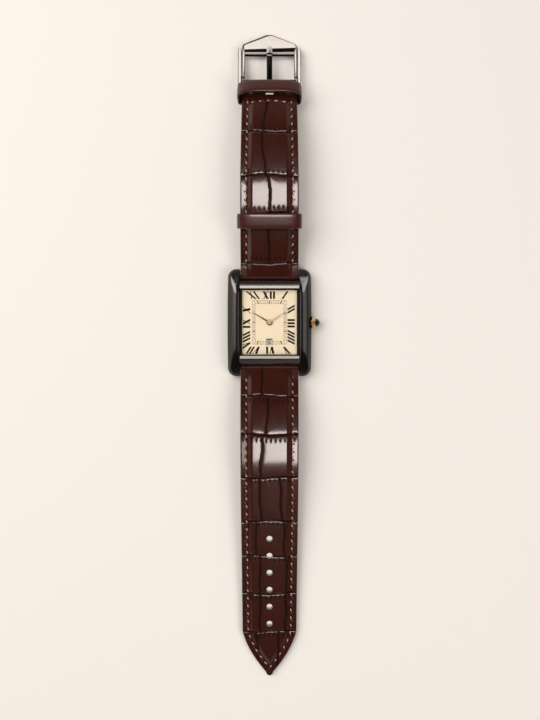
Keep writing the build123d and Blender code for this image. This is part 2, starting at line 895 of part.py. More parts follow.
with BuildPart() as date_cover:
    with BuildSketch(Plane.XY.offset(cover_base)):
        Circle(cover_radius)
        Circle(dial_centre_hole / 2, mode=Mode.SUBTRACT)
    extrude(amount=cover_thickness)
date_cover.part.label = "date_ring_cover"
export_step(date_cover.part, "parts/date_ring_cover.step")

jumper_foot = polar(jumper_foot_reach, jumper_foot_direction)
jumper_beak = polar(jumper_beak_reach, jumper_beak_direction)
jumper_middle = ((jumper_foot[0] + jumper_beak[0]) / 2, (jumper_foot[1] + jumper_beak[1]) / 2)
jumper_heading = math.degrees(
    math.atan2(jumper_beak[1] - jumper_foot[1], jumper_beak[0] - jumper_foot[0])
)
with BuildPart() as date_jumper:
    with BuildSketch(Plane.XY.offset(date_ring_base)):
        with Locations(jumper_middle):
            SlotCenterToCenter(
                math.dist(jumper_foot, jumper_beak), jumper_width, rotation=jumper_heading
            )
    extrude(amount=date_ring_thickness)
    with BuildSketch(Plane.XY.offset(plate_top)):
        with Locations(jumper_foot):
            small_round(jumper_width)
    extrude(amount=date_ring_base + date_ring_thickness - plate_top)
date_jumper.part.label = "date_jumper"
export_step(date_jumper.part, "parts/date_jumper.step")

# Motor: stator, coil core and winding
with BuildPart() as stator:
    with BuildSketch(Plane.XY.offset(stator_base)):
        with Locations((0, rotor_place[1])):
            Rectangle(coil_core_length, stator_width)
        with Locations(
            (coil_core_length / 2 - coil_core_width / 2, (rotor_place[1] + coil_y) / 2),
            (coil_core_width / 2 - coil_core_length / 2, (rotor_place[1] + coil_y) / 2),
        ):
            Rectangle(coil_core_width, rotor_place[1] - coil_y + coil_core_width)
        with Locations(rotor_place):
            Circle(rotor_magnet_radius + stator_gap, mode=Mode.SUBTRACT)
    extrude(amount=stator_thickness)
stator.part.label = "stator"
export_step(stator.part, "parts/stator.step")

coil_height = stator_base - stator_thickness / 2
with BuildPart() as coil_core:
    with Locations((0, coil_y, coil_height)):
        Box(coil_core_length, coil_core_width / 2, stator_thickness)
coil_core.part.label = "coil_core"
export_step(coil_core.part, "parts/coil_core.step")

with BuildPart() as coil_winding:
    with BuildSketch(Plane.YZ):
        with Locations((coil_y, coil_height)):
            Circle(coil_radius)
            Rectangle(coil_core_width / 2, stator_thickness, mode=Mode.SUBTRACT)
    extrude(amount=coil_length / 2, both=True)
coil_winding.part.label = "coil_winding"
export_step(coil_winding.part, "parts/coil_winding.step")

# Battery with its clamp, circuit board and quartz can
with BuildPart() as battery:
    with BuildSketch(Plane.XY.offset(battery_base)):
        with Locations((battery_x, battery_y)):
            Circle(battery_radius)
    extrude(amount=battery_thickness)
battery.part.label = "battery"
export_step(battery.part, "parts/battery.step")

with BuildPart() as battery_clamp:
    with BuildSketch(Plane.XY.offset(clamp_base)):
        with Locations((battery_x + clamp_length / 2 - battery_radius / 2, battery_y)):
            Rectangle(clamp_length, clamp_width)
    extrude(amount=clamp_thickness)
    clamp_end = battery_clamp.faces().sort_by(Axis.X)[-1].center().X
    with BuildSketch(Plane.XY.offset(clamp_base)):
        with Locations((clamp_end - clamp_width / 2, battery_y)):
            Rectangle(clamp_width, clamp_width)
    extrude(amount=main_plate_base - clamp_base)
battery_clamp.part.label = "battery_clamp"
export_step(battery_clamp.part, "parts/battery_clamp.step")

with BuildPart() as circuit_board:
    with BuildSketch(Plane.XY.offset(board_base)):
        with Locations((board_x, board_y)):
            RectangleRounded(board_width, board_length, board_corner_radius)
    extrude(amount=board_thickness)
circuit_board.part.label = "circuit_board"
export_step(circuit_board.part, "parts/circuit_board.step")

with BuildPart() as quartz_can:
    with BuildSketch(Plane.YZ.offset(quartz_x - quartz_length / 2)):
        with Locations((quartz_y, board_base + board_thickness + quartz_radius)):
            Circle(quartz_radius)
    extrude(amount=quartz_length)
quartz_can.part.label = "quartz_can"
export_step(quartz_can.part, "parts/quartz_can.step")

# Crown: beaded disc and collar on the stem, with a domed stone in its outer face
crown_base = half_width + crown_gap
collar_base = crown_base + crown_length
stone_base = collar_base + crown_collar_length
crown_axis = Plane.YZ
tube_start = half_width + tube_stand - tube_length
with BuildPart() as crown:
    with BuildSketch(crown_axis.offset(crown_base)):
        with Locations((0, stem_height)):
            flutes = []
            for flute in range(crown_lobes):
                turn = flute * 360 / crown_lobes
                flutes.append(polar(crown_radius - crown_flute_depth, turn))
                flutes.append(polar(crown_radius, turn + 90 / crown_lobes))
                flutes.append(polar(crown_radius, turn + 270 / crown_lobes))
            Polygon(*flutes, align=None)
    extrude(amount=crown_length)
    with BuildSketch(crown_axis.offset(collar_base)):
        with Locations((0, stem_height)):
            Circle(crown_collar_radius)
    extrude(amount=crown_collar_length)
    with BuildSketch(crown_axis.offset(crown_base)):
        with Locations((0, stem_height)):
            Circle(tube_radius + crown_gap)
    extrude(amount=tube_stand, mode=Mode.SUBTRACT)
crown.part.label = "crown"
export_step(crown.part, "parts/crown.step")

dome_radius = (cabochon_radius**2 + cabochon_dome**2) / (2 * cabochon_dome)
dome_base = stone_base + cabochon_wall
with BuildPart() as cabochon:
    with Locations((dome_base + cabochon_dome - dome_radius, 0, stem_height)):
        Sphere(dome_radius, rotation=(0, 90, 0))
    split(bisect_by=Plane.YZ.offset(dome_base), keep=Keep.TOP)
    with BuildSketch(crown_axis.offset(stone_base)):
        with Locations((0, stem_height)):
            Circle(cabochon_radius)
    extrude(amount=cabochon_wall)
cabochon.part.label = "crown_cabochon"
export_step(cabochon.part, "parts/crown_cabochon.step")

# Stem with its square inner end and the groove of the setting lever
stem_shoulder = clutch_x + clutch_length + crown_pull - stem_gap
with BuildPart() as stem:
    with BuildSketch(crown_axis.offset(stem_inner_end)):
        with Locations((0, stem_height)):
            Rectangle(stem_square_side, stem_square_side)
    extrude(amount=stem_shoulder - stem_inner_end)
    with BuildSketch(crown_axis.offset(stem_shoulder)):
        with Locations((0, stem_height)):
            RegularPolygon(stem_radius, hidden_sides)
    extrude(amount=crown_base + tube_stand - stem_shoulder)
    with BuildSketch(crown_axis.offset(stem_groove_x)):
        with Locations((0, stem_height)):
            Circle(stem_radius + pivot_gap)
            RegularPolygon(stem_groove_radius, hidden_sides, mode=Mode.SUBTRACT)
    extrude(amount=stem_groove_length, mode=Mode.SUBTRACT)
stem.part.label = "setting_stem"
export_step(stem.part, "parts/setting_stem.step")

with BuildPart() as clutch:
    with BuildSketch(crown_axis.offset(clutch_x)):
        with Locations((0, stem_height)):
            toothed_disc(clutch_teeth, 2 * clutch_radius / (clutch_teeth + 2), 90)
            Rectangle(
                stem_square_side + 2 * stem_gap, stem_square_side + 2 * stem_gap, mode=Mode.SUBTRACT
            )
    extrude(amount=clutch_length)
clutch.part.label = "clutch_wheel"
export_step(clutch.part, "parts/clutch_wheel.step")

with BuildPart() as lever:
    with BuildSketch(Plane.XY.offset(lever_base)):
        with Locations((lever_place[0], lever_arm / 2)):
            SlotCenterToCenter(lever_arm, lever_width, rotation=90)
        with Locations(lever_place):
            RegularPolygon(pivot_radius + pivot_gap, hidden_sides, mode=Mode.SUBTRACT)
    extrude(amount=lever_thickness)
    with BuildSketch(Plane.XY.offset(lever_base)):
        with Locations((lever_place[0], 0)):
            RegularPolygon(lever_pin_radius, hidden_sides)
    extrude(amount=-lever_pin_length)
lever.part.label = "setting_lever"
export_step(lever.part, "parts/setting_lever.step")

with BuildPart() as tube:
    with BuildSketch(crown_axis.offset(tube_start)):
        with Locations((0, stem_height)):
            Circle(tube_radius)
            RegularPolygon(tube_radius - tube_wall, hidden_sides, mode=Mode.SUBTRACT)
    extrude(amount=tube_length)
tube.part.label = "crown_tube"
export_step(tube.part, "parts/crown_tube.step")

with BuildPart() as crown_gasket:
    with BuildSketch(crown_axis.offset(tube_start + crown_gasket_length)):
        with Locations((0, stem_height)):
            RegularPolygon(tube_radius - tube_wall, hidden_sides)
            RegularPolygon(stem_radius + stem_gap, hidden_sides, mode=Mode.SUBTRACT)
    extrude(amount=crown_gasket_length)
crown_gasket.part.label = "crown_gasket"
export_step(crown_gasket.part, "parts/crown_gasket.step")

# Spring bars: hollow tube, two sliding tips and the spring that pushes them apart
spring_radius = spring_bar_tip_radius - spring_bar_wall / 2
spring_wire = spring_bar_wall
spring_steps = 8


def bar_tube(place, span):
    """Tube of a spring bar, drawn across the strap; place is its distance along Y and its height."""
    with BuildPart() as built:
        with BuildSketch(Plane.YZ):
            with Locations(place):
                Circle(spring_bar_radius)
                RegularPolygon(spring_bar_radius - spring_bar_wall, hidden_sides, mode=Mode.SUBTRACT)
        extrude(amount=span / 2 - spring_bar_end_gap, both=True)
    return built


def bar_tips(place, span):
    """Both tips of a spring bar."""
    tip_start = span / 2 - spring_bar_end_gap - spring_bar_tip_inside
    with BuildPart() as built:
        for side in (-1, 1):
            with BuildSketch(Plane.YZ.offset(side * tip_start)):
                with Locations(place):
                    RegularPolygon(spring_bar_tip_radius, hidden_sides)
            extrude(amount=side * (span / 2 + spring_bar_tip_length - back_gap - tip_start))
    return built


def bar_spring(place, span):
    """Coil spring between the two tips of a spring bar, wound of square wire in short straights."""
    reach = span / 2 - spring_bar_end_gap - spring_bar_tip_inside - spring_wire
    steps = spring_bar_coils * spring_steps
    turns = [(step, 360 * step / spring_steps) for step in range(steps + 1)]
    points = [
        (reach * (2 * step / steps - 1), *polar(spring_radius, turn, place)) for step, turn in turns
    ]
    with BuildPart() as built:
        with BuildLine() as coil:
            Polyline(*points)
        start = Plane(origin=coil.line @ 0, z_dir=coil.line % 0)
        with BuildSketch(start) as wire_face:
            Rectangle(spring_wire, spring_wire)
        sweep(wire_face.sketch, path=coil.line, transition=Transition.RIGHT)
    return built


strap_bars = {"12": (bar_y, bar_height), "6": (-bar_y, bar_height)}
for end, place in strap_bars.items():
    tube_node = bar_tube(place, lug_gap)
    tube_node.part.label = f"spring_bar_{end}_tube"
    export_step(tube_node.part, f"parts/spring_bar_{end}_tube.step")
    tips_node = bar_tips(place, lug_gap)
    tips_node.part.label = f"spring_bar_{end}_tips"
    export_step(tips_node.part, f"parts/spring_bar_{end}_tips.step")
    spring_node = bar_spring(place, lug_gap)
    spring_node.part.label = f"spring_bar_{end}_spring"
    export_step(spring_node.part, f"parts/spring_bar_{end}_spring.step")

# Centre lines of the two strap halves, each seen from the side as Y and Z
def circle_through(start, end, rise):
    """Centre and radius of the arc that rises above the chord from start to end."""
    chord = math.dist(start, end)
    radius = chord**2 / (8 * rise) + rise / 2
    lift = radius - rise
    across = ((start[1] - end[1]) / chord, (end[0] - start[0]) / chord)
    middle = ((start[0] + end[0]) / 2, (start[1] + end[1]) / 2)
    return (middle[0] - lift * across[0], middle[1] - lift * across[1]), radius


def on_circle(centre, radius, y):
    """Height of the upper side of a circle at a distance along Y, as a point."""
    return (y, centre[1] + math.sqrt(radius**2 - (y - centre[0]) ** 2))


short_start = (bar_y, bar_height)
buckle_bar_y = bar_y + short_strap_reach
short_end = (buckle_bar_y, buckle_bar_height)
free_keeper_y = bar_y + free_keeper_distance
fixed_keeper_y = buckle_bar_y - fixed_keeper_setback
short_centre, short_radius = circle_through(short_start, short_end, short_strap_rise)


def short_point(y, offset):
    """Point of the short half's centre line at y, moved square to the line by offset."""
    base = on_circle(short_centre, short_radius, y)
    away = ((base[0] - short_centre[0]) / short_radius, (base[1] - short_centre[1]) / short_radius)
    return (base[0] + offset * away[0], base[1] + offset * away[1])


def short_slope(y):
    """Slope of the short half at y, in degrees."""
    return -math.degrees(math.asin((y - short_centre[0]) / short_radius))


def short_half_thickness(y):
    """Half thickness of the short half at y."""
    share = (y - bar_y) / short_strap_reach
    return (strap_lug_thickness + share * (strap_end_thickness - strap_lug_thickness)) / 2


arch_top_y = -bar_y - long_arch_radius * math.sin(math.radians(long_arch_start))
arch_centre = (arch_top_y, bar_height - long_arch_radius * math.cos(math.radians(long_arch_start)))
join_y = arch_top_y - long_arch_radius * math.sin(math.radians(long_arch_end))
join_height = arch_centre[1] + long_arch_radius * math.cos(math.radians(long_arch_end))
sweep_radius = (join_height - long_tip_height) / (1 - math.cos(math.radians(long_arch_end)))
sweep_end_y = join_y - sweep_radius * math.sin(math.radians(long_arch_end))
sweep_centre = (sweep_end_y, long_tip_height + sweep_radius)
long_tip_y = sweep_end_y - long_tip_overrun


def long_point(y, offset):
    """Point of the long half's centre line at y, moved square to the line by offset."""
    if y < sweep_end_y:
        return (y, long_tip_height + offset)
    if y < join_y:
        height = sweep_centre[1] - math.sqrt(sweep_radius**2 - (y - sweep_centre[0]) ** 2)
        away = ((sweep_centre[0] - y) / sweep_radius, (sweep_centre[1] - height) / sweep_radius)
        return (y + offset * away[0], height + offset * away[1])
    base = on_circle(arch_centre, long_arch_radius, y)
    away = ((y - arch_centre[0]) / long_arch_radius, (base[1] - arch_centre[1]) / long_arch_radius)
    return (y + offset * away[0], base[1] + offset * away[1])


def long_half_thickness(y):
    """Half thickness of the long half at y."""
    share = min(1, (y + bar_y) / (join_y + bar_y))
    return (strap_lug_thickness + share * (strap_tip_thickness - strap_lug_thickness)) / 2


short_bends = [bar_y, bar_y + short_strap_reach / 2, buckle_bar_y]
long_bends = [-bar_y, (join_y - bar_y) / 2, join_y, (join_y + sweep_end_y) / 2, sweep_end_y]


def layer_face(point, bends, low, high, tip_y=None):
    """Side view of one layer, between two offsets from the centre line, drawn into the open sketch."""
    ends = [bends[-1]] if tip_y is None else [bends[-1], tip_y]
    with BuildSketch(mode=Mode.PRIVATE) as layer:
        with BuildLine():
            for offset_at in (low, high):
                points = [point(y, offset_at(y)) for y in bends]
                for first in range(0, len(points) - 2, 2):
                    ThreePointArc(*points[first : first + 3])
                if tip_y is not None:
                    Line(points[-1], point(tip_y, offset_at(tip_y)))
            Line(point(bends[0], low(bends[0])), point(bends[0], high(bends[0])))
            Line(point(ends[-1], low(ends[-1])), point(ends[-1], high(ends[-1])))
        make_face()
    add(layer.sketch)


def strap_outline(inset, lug_y, mid_y, end_y, end_width):
    """Plan of a strap half from the lugs to its square end, drawn into the open sketch."""
    lug = strap_lug_width / 2 - inset
    mid = strap_mid_width / 2 - inset
    end = end_width / 2 - inset
    with BuildSketch(mode=Mode.PRIVATE) as plan:
        with BuildLine():
            Polyline((lug, lug_y), (mid, mid_y), (end, end_y), (-end, end_y), (-mid, mid_y))
            Polyline((-mid, mid_y), (-lug, lug_y), (lug, lug_y))
        make_face()
    add(plan.sketch)


def pointed_outline(inset):
    """Plan of the long half, with its pointed tip, drawn into the open sketch."""
    lug = strap_lug_width / 2 - inset
    mid = strap_mid_width / 2 - inset
    shoulder = strap_tip_width / 2 - inset
    lug_y = -bar_y + strap_fold_radius
    tip_y = long_tip_y + inset
    shoulder_y = tip_y + tip_point_length
    mid_y = (lug_y + shoulder_y) / 2
    bow = (shoulder + tip_point_radius) / 2 + tip_point_length / 8
    with BuildSketch(mode=Mode.PRIVATE) as plan:
        with BuildLine():
            for side in (-1, 1):
                Polyline((side * lug, lug_y), (side * mid, mid_y), (side * shoulder, shoulder_y))
                ThreePointArc(
                    (side * shoulder, shoulder_y),
                    (side * bow, tip_y + tip_point_length * tip_bow_share),
                    (side * tip_point_radius, tip_y + tip_point_radius * tip_round_share),
                )
            ThreePointArc(
                (-tip_point_radius, tip_y + tip_point_radius * tip_round_share),
                (0, tip_y),
                (tip_point_radius, tip_y + tip_point_radius * tip_round_share),
            )
            Line((-lug, lug_y), (lug, lug_y))
        make_face()
    add(plan.sketch)


tip_bow_share = 0.42
tip_round_share = 0.45
bore_radius = spring_bar_radius + strap_bore_gap




def offsets(half):
    """Offsets of the faces between the layers of a strap half, from its underside to its crown."""
    return (
        lambda y: -half(y),
        lambda y: lining_thickness - half(y),
        lambda y: lining_thickness + filler_thickness - half(y),
        lambda y: half(y) * edge_height_share,
        half,
        lambda y: (lining_thickness + filler_thickness / 2) - half(y),
    )


edge_height_share = 0.5
punch_sides = 16
chamfer_share = 0.4
strap_cut = strap_lug_width
low_short, lining_short, filler_short, edge_short, crown_short, core_short = offsets(short_half_thickness)
low_long, lining_long, filler_long, edge_long, crown_long, core_long = offsets(long_half_thickness)
pad_chamfer = strap_tip_thickness * chamfer_share / 2

# Raised padding of the two halves, narrower than the strap and sloped along its sides
pad_start = bar_y + strap_fold_radius
pad_end = buckle_bar_y - prong_slot_length - strap_end_thickness
with BuildPart() as short_pad:
    with BuildSketch(Plane.YZ):
        layer_face(short_point, [pad_start, (pad_start + pad_end) / 2, pad_end], core_short, crown_short)
    extrude(amount=strap_cut, both=True)
    with BuildSketch():
        strap_outline(pad_edge_inset, pad_start, short_bends[1], pad_end, strap_end_width)
    extrude(amount=strap_cut, mode=Mode.INTERSECT)
    crown_face = short_pad.faces().sort_by(Axis.Z)[-1]
    chamfer(
        crown_face.edges().sort_by(Axis.X)[0],
        length=pad_chamfer,
        length2=pad_slope_run,
        reference=crown_face,
    )
    crown_face = short_pad.faces().sort_by(Axis.Z)[-1]
    chamfer(
        crown_face.edges().sort_by(Axis.X)[-1],
        length=pad_chamfer,
        length2=pad_slope_run,
        reference=crown_face,
    )

long_pad_bends = [-pad_start, *long_bends[1:]]
with BuildPart() as long_pad:
    with BuildSketch(Plane.YZ):
        layer_face(long_point, long_pad_bends, core_long, crown_long, long_tip_y)
    extrude(amount=strap_cut, both=True)
    with BuildSketch():
        pointed_outline(pad_edge_inset)
    extrude(amount=strap_cut, both=True, mode=Mode.INTERSECT)

# Whole halves, before they are parted into upper, filler and lining
with BuildPart() as short_half:
    with BuildSketch(Plane.YZ):
        layer_face(short_point, short_bends, low_short, edge_short)
    extrude(amount=strap_cut, both=True)
    with BuildSketch():
        strap_outline(0, bar_y, short_bends[1], buckle_bar_y, strap_end_width)
    extrude(amount=strap_cut, both=True, mode=Mode.INTERSECT)
    add(short_pad.part)
    with BuildSketch(Plane.YZ):
        with Locations(short_start):
            Circle(strap_fold_radius)
    extrude(amount=strap_lug_width / 2, both=True)
    with BuildSketch(Plane.YZ):
        with Locations(short_end):
            Circle(strap_end_fold_radius)
    extrude(amount=strap_end_width / 2, both=True)
    with BuildSketch(Plane.YZ):
        with Locations(short_start, short_end):
            Circle(bore_radius)
    extrude(amount=strap_cut, both=True, mode=Mode.SUBTRACT)
    with BuildSketch():
        with Locations((0, buckle_bar_y)):
            Rectangle(prong_slot_width, 2 * prong_slot_length)
    extrude(amount=strap_cut, mode=Mode.SUBTRACT)

with BuildPart() as long_half:
    with BuildSketch(Plane.YZ):
        layer_face(long_point, long_bends, low_long, edge_long, long_tip_y)
    extrude(amount=strap_cut, both=True)
    with BuildSketch():
        pointed_outline(0)
        with Locations((0, -bar_y + strap_fold_radius)):
            Rectangle(strap_lug_width, 2 * strap_fold_radius)
    extrude(amount=strap_cut, both=True, mode=Mode.INTERSECT)
    add(long_pad.part)
    with BuildSketch(Plane.YZ):
        with Locations((-bar_y, bar_height)):
            Circle(strap_fold_radius)
    extrude(amount=strap_lug_width / 2, both=True)
    with BuildSketch(Plane.YZ):
        with Locations((-bar_y, bar_height)):
            Circle(bore_radius)
    extrude(amount=strap_cut, both=True, mode=Mode.SUBTRACT)
    with BuildSketch():
        for hole in range(strap_hole_count):
            with Locations((0, -first_hole_distance - hole * strap_hole_pitch)):
                RegularPolygon(strap_hole_radius, punch_sides)
    extrude(amount=strap_cut, both=True, mode=Mode.SUBTRACT)

# Space of the lining and of the filler inside each half
lining_start = bar_y + strap_fold_radius + lining_thickness
short_lining_end = buckle_bar_y - prong_slot_length - lining_thickness
filler_start = lining_start + filler_thickness
short_filler_end = short_lining_end - filler_thickness
below_short = lambda y: low_short(y) - strap_fold_radius
below_long = lambda y: low_long(y) - strap_fold_radius
in_lining_short = lambda y: lining_short(y) - lining_thickness / 2
in_lining_long = lambda y: lining_long(y) - lining_thickness / 2
with BuildPart() as short_lining_space:
    with BuildSketch(Plane.YZ):
        middle = (lining_start + short_lining_end) / 2
        layer_face(short_point, [lining_start, middle, short_lining_end], below_short, lining_short)
    extrude(amount=strap_cut, both=True)

with BuildPart() as short_filler_space:
    with BuildSketch(Plane.YZ):
        middle = (filler_start + short_filler_end) / 2
        layer_face(
            short_point,
            [filler_start, middle, short_filler_end],
            in_lining_short,
            filler_short,
        )
    extrude(amount=filler_width / 2, both=True)

with BuildPart() as long_lining_space:
    with BuildSketch(Plane.YZ):
        bends = [-lining_start, *long_bends[1:]]
        layer_face(long_point, bends, below_long, lining_long, long_tip_y - strap_fold_radius)
    extrude(amount=strap_cut, both=True)

with BuildPart() as long_filler_space:
    with BuildSketch(Plane.YZ):
        filler_stop = -first_hole_distance + strap_hole_pitch
        bends = [-filler_start, (join_y - filler_start) / 2, join_y, (join_y + filler_stop) / 2, filler_stop]
        layer_face(long_point, bends, in_lining_long, filler_long)
    extrude(amount=filler_width / 2, both=True)

# The layers themselves
for half_name, whole, lining_space, filler_space in (
    ("short", short_half, short_lining_space, short_filler_space),
    ("long", long_half, long_lining_space, long_filler_space),
):
    with BuildPart() as filler:
        add(whole.part)
        add(filler_space.part, mode=Mode.INTERSECT)
        add(lining_space.part, mode=Mode.SUBTRACT)
    filler.part.label = f"strap_{half_name}_filler"
    export_step(filler.part, f"parts/strap_{half_name}_filler.step")
    with BuildPart() as lining:
        add(whole.part)
        add(lining_space.part, mode=Mode.INTERSECT)
    lining.part.label = f"strap_{half_name}_lining"
    export_step(lining.part, f"parts/strap_{half_name}_lining.step")
    with BuildPart() as upper:
        add(whole.part)
        add(lining_space.part, mode=Mode.SUBTRACT)
        add(filler.part, mode=Mode.SUBTRACT)
    upper.part.label = f"strap_{half_name}_upper"
    export_step(upper.part, f"parts/strap_{half_name}_upper.step")


# Keepers: leather loops with bevelled corners, square to the strap where they sit
def keeper_loop(y, height):
    """Closed loop round the short half at y, bent with it; its underside lies just below the strap."""
    seat = -short_half_thickness(y) - keeper_skin_gap - keeper_wall
    half_turn = math.degrees(keeper_length / 2 / short_radius)
    turn = math.radians(half_turn - short_slope(y))
    reach = short_radius + seat + height / 2
    plane = Plane(
        origin=(
            0,
            short_centre[0] + reach * math.sin(turn),
            short_centre[1] + reach * math.cos(turn),
        ),
        x_dir=(1, 0, 0),
        z_dir=(0, -math.cos(turn), math.sin(turn)),
    )
    width = strap_mid_width + 2 * keeper_side_gap
    with BuildPart() as built:
        with BuildSketch(plane) as ring:
            Rectangle(width + 2 * keeper_wall, height)
            chamfer(ring.vertices(), keeper_corner_radius)
            Rectangle(width, height - 2 * keeper_wall, mode=Mode.SUBTRACT)
        revolve(
            ring.sketch, axis=Axis((0, *short_centre), (1, 0, 0)), revolution_arc=2 * half_turn
        )
    return built


free_keeper = keeper_loop(free_keeper_y, keeper_height)
free_keeper.part.label = "free_keeper"
export_step(free_keeper.part, "parts/free_keeper.step")

fixed_keeper = keeper_loop(fixed_keeper_y, keeper_height)
fixed_keeper.part.label = "fixed_keeper"
export_step(fixed_keeper.part, "parts/fixed_keeper.step")

# Buckle: lies tilted, from its bar down to its peak on the table
buckle_tilt = math.asin((buckle_bar_height - buckle_thickness / 2) / buckle_apex_u)
buckle_plane = Plane(
    origin=(0, buckle_bar_y, buckle_bar_height),
    x_dir=(1, 0, 0),
    z_dir=(0, math.sin(buckle_tilt), math.cos(buckle_tilt)),
)
side_plane = Plane(
    origin=(0, buckle_bar_y, buckle_bar_height),
    x_dir=(0, math.cos(buckle_tilt), -math.sin(buckle_tilt)),
    z_dir=(1, 0, 0),
)
ear_inside = strap_end_width / 2 + buckle_ear_gap
rail_inside = buckle_width / 2 - buckle_rail_width
rim_u = buckle_window_u + buckle_rim_radius
with BuildPart() as buckle_frame:
    with BuildSketch(buckle_plane.offset(-buckle_thickness / 2)):
        for side in (-1, 1):
            Polygon(
                (side * ear_inside, 0),
                (side * buckle_width / 2, 0),
                (side * buckle_width / 2, buckle_rail_length),
                (side * buckle_shoulder_width / 2, buckle_shoulder_u),
                (side * rail_inside, buckle_shoulder_u),
                (side * rail_inside, buckle_ear_length),
                (side * ear_inside, buckle_ear_length),
                align=None,
            )
    extrude(amount=buckle_thickness)
    with BuildSketch(buckle_plane.offset(-buckle_thickness / 2)):
        Polygon(
            (-rail_inside, buckle_window_u),
            (rail_inside, buckle_window_u),
            (buckle_shoulder_width / 2, buckle_shoulder_u),
            (buckle_apex_width / 2, buckle_apex_u),
            (-buckle_apex_width / 2, buckle_apex_u),
            (-buckle_shoulder_width / 2, buckle_shoulder_u),
            align=None,
        )
    extrude(amount=buckle_plate_thickness)
    with BuildSketch(side_plane):
        with Locations((rim_u, 0)):
            Circle(buckle_rim_radius)
    extrude(amount=rail_inside, both=True)
    for side in (-1, 1):
        with BuildSketch(side_plane.offset(side * ear_inside)):
            Circle(buckle_ear_radius)
        extrude(amount=side * buckle_ear_wall)
    with BuildSketch(side_plane):
        Circle(lug_hole_radius)
    extrude(amount=ear_inside + spring_bar_tip_length, both=True, mode=Mode.SUBTRACT)
buckle_frame.part.label = "buckle_frame"
export_step(buckle_frame.part, "parts/buckle_frame.step")

# Prong: ring on the bar and a round finger that rests on the rim
tip_chamfer_share = 0.5
prong_angle = math.asin(prong_tip_rise / prong_length)
finger_plane = Plane(
    origin=(0, buckle_bar_y, buckle_bar_height),
    x_dir=(1, 0, 0),
    z_dir=(0, math.cos(prong_angle - buckle_tilt), math.sin(prong_angle - buckle_tilt)),
)
with BuildPart() as buckle_prong:
    with BuildSketch(side_plane):
        Circle(prong_hub_radius)
    extrude(amount=prong_radius, both=True)
    with BuildSketch(finger_plane):
        Circle(prong_radius)
    extrude(amount=prong_length)
    with BuildSketch(side_plane):
        Circle(spring_bar_radius + pipe_gap)
    extrude(amount=prong_hub_radius, both=True, mode=Mode.SUBTRACT)
    with BuildSketch(finger_plane.offset(prong_length - prong_tip_radius)):
        Circle(prong_tip_radius)
    extrude(amount=2 * prong_tip_radius)
    chamfer(
        buckle_prong.faces().sort_by(Axis.Y)[-1].edges(),
        length=prong_tip_radius * tip_chamfer_share,
    )
buckle_prong.part.label = "buckle_prong"
export_step(buckle_prong.part, "parts/buckle_prong.step")

buckle_bar_place = (buckle_bar_y, buckle_bar_height)
buckle_bar_tube = bar_tube(buckle_bar_place, 2 * ear_inside)
buckle_bar_tube.part.label = "buckle_bar_tube"
export_step(buckle_bar_tube.part, "parts/buckle_bar_tube.step")

buckle_bar_tips = bar_tips(buckle_bar_place, 2 * ear_inside)
buckle_bar_tips.part.label = "buckle_bar_tips"
export_step(buckle_bar_tips.part, "parts/buckle_bar_tips.step")

buckle_bar_spring = bar_spring(buckle_bar_place, 2 * ear_inside)
buckle_bar_spring.part.label = "buckle_bar_spring"
export_step(buckle_bar_spring.part, "parts/buckle_bar_spring.step")

print("short half bends with radius", round(short_radius, 1))
print("long half sweeps with radius", round(sweep_radius, 1), "tip at", round(long_tip_y, 1))
print("buckle bar at", round(buckle_bar_y, 2), "tilt", round(math.degrees(buckle_tilt), 2))
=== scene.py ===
"""Dress watch: rectangular black case, cream dial and an open crocodile-grain strap with a pin buckle."""

import json
import logging
import math
import random
from dataclasses import dataclass
from enum import Enum
from typing import Callable

import bmesh
import bpy
import numpy as np
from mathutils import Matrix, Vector

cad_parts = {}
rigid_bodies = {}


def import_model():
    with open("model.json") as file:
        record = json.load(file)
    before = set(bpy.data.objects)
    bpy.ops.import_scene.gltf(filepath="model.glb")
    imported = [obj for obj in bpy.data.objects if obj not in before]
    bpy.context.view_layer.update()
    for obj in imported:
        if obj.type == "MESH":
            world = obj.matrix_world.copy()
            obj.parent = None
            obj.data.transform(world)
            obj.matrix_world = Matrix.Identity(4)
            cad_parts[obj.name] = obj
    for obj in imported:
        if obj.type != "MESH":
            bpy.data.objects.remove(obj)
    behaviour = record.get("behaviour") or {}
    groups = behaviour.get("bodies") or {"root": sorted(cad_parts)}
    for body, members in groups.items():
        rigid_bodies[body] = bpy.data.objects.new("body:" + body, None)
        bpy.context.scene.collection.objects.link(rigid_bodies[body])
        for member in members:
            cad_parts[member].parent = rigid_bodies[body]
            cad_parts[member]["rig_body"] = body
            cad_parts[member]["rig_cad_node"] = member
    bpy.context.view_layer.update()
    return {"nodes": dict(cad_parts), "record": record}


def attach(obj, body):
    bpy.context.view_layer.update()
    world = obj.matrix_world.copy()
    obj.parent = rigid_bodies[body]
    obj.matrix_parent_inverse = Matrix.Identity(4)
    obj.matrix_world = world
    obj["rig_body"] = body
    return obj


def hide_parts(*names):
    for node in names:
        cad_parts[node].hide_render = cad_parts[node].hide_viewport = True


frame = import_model()
frame_slots = {row["node"]: row["material_slot"] for row in frame["record"]["subparts"]}

LOG = logging.getLogger("watch")
MM = 0.001
QUARTER = math.pi / 2

Piece = bpy.types.Object
Tree = bpy.types.NodeTree
Node = bpy.types.Node
Socket = bpy.types.NodeSocket
Array = np.ndarray
Point = tuple[float, float]
Place = tuple[float, float, float]
Outline = list[Point]


def srgb(code: str) -> tuple[float, float, float, float]:
    """Turn an sRGB hex colour into the linear colour that a shader takes.

    Args:
        code: six hex digits, such as "3a1a12".

    Returns:
        Linear red, green and blue, with an alpha of 1.
    """
    channels = [int(code[i : i + 2], 16) / 255 for i in (0, 2, 4)]
    linear = [c / 12.92 if c <= 0.04045 else ((c + 0.055) / 1.055) ** 2.4 for c in channels]
    return (linear[0], linear[1], linear[2], 1.0)


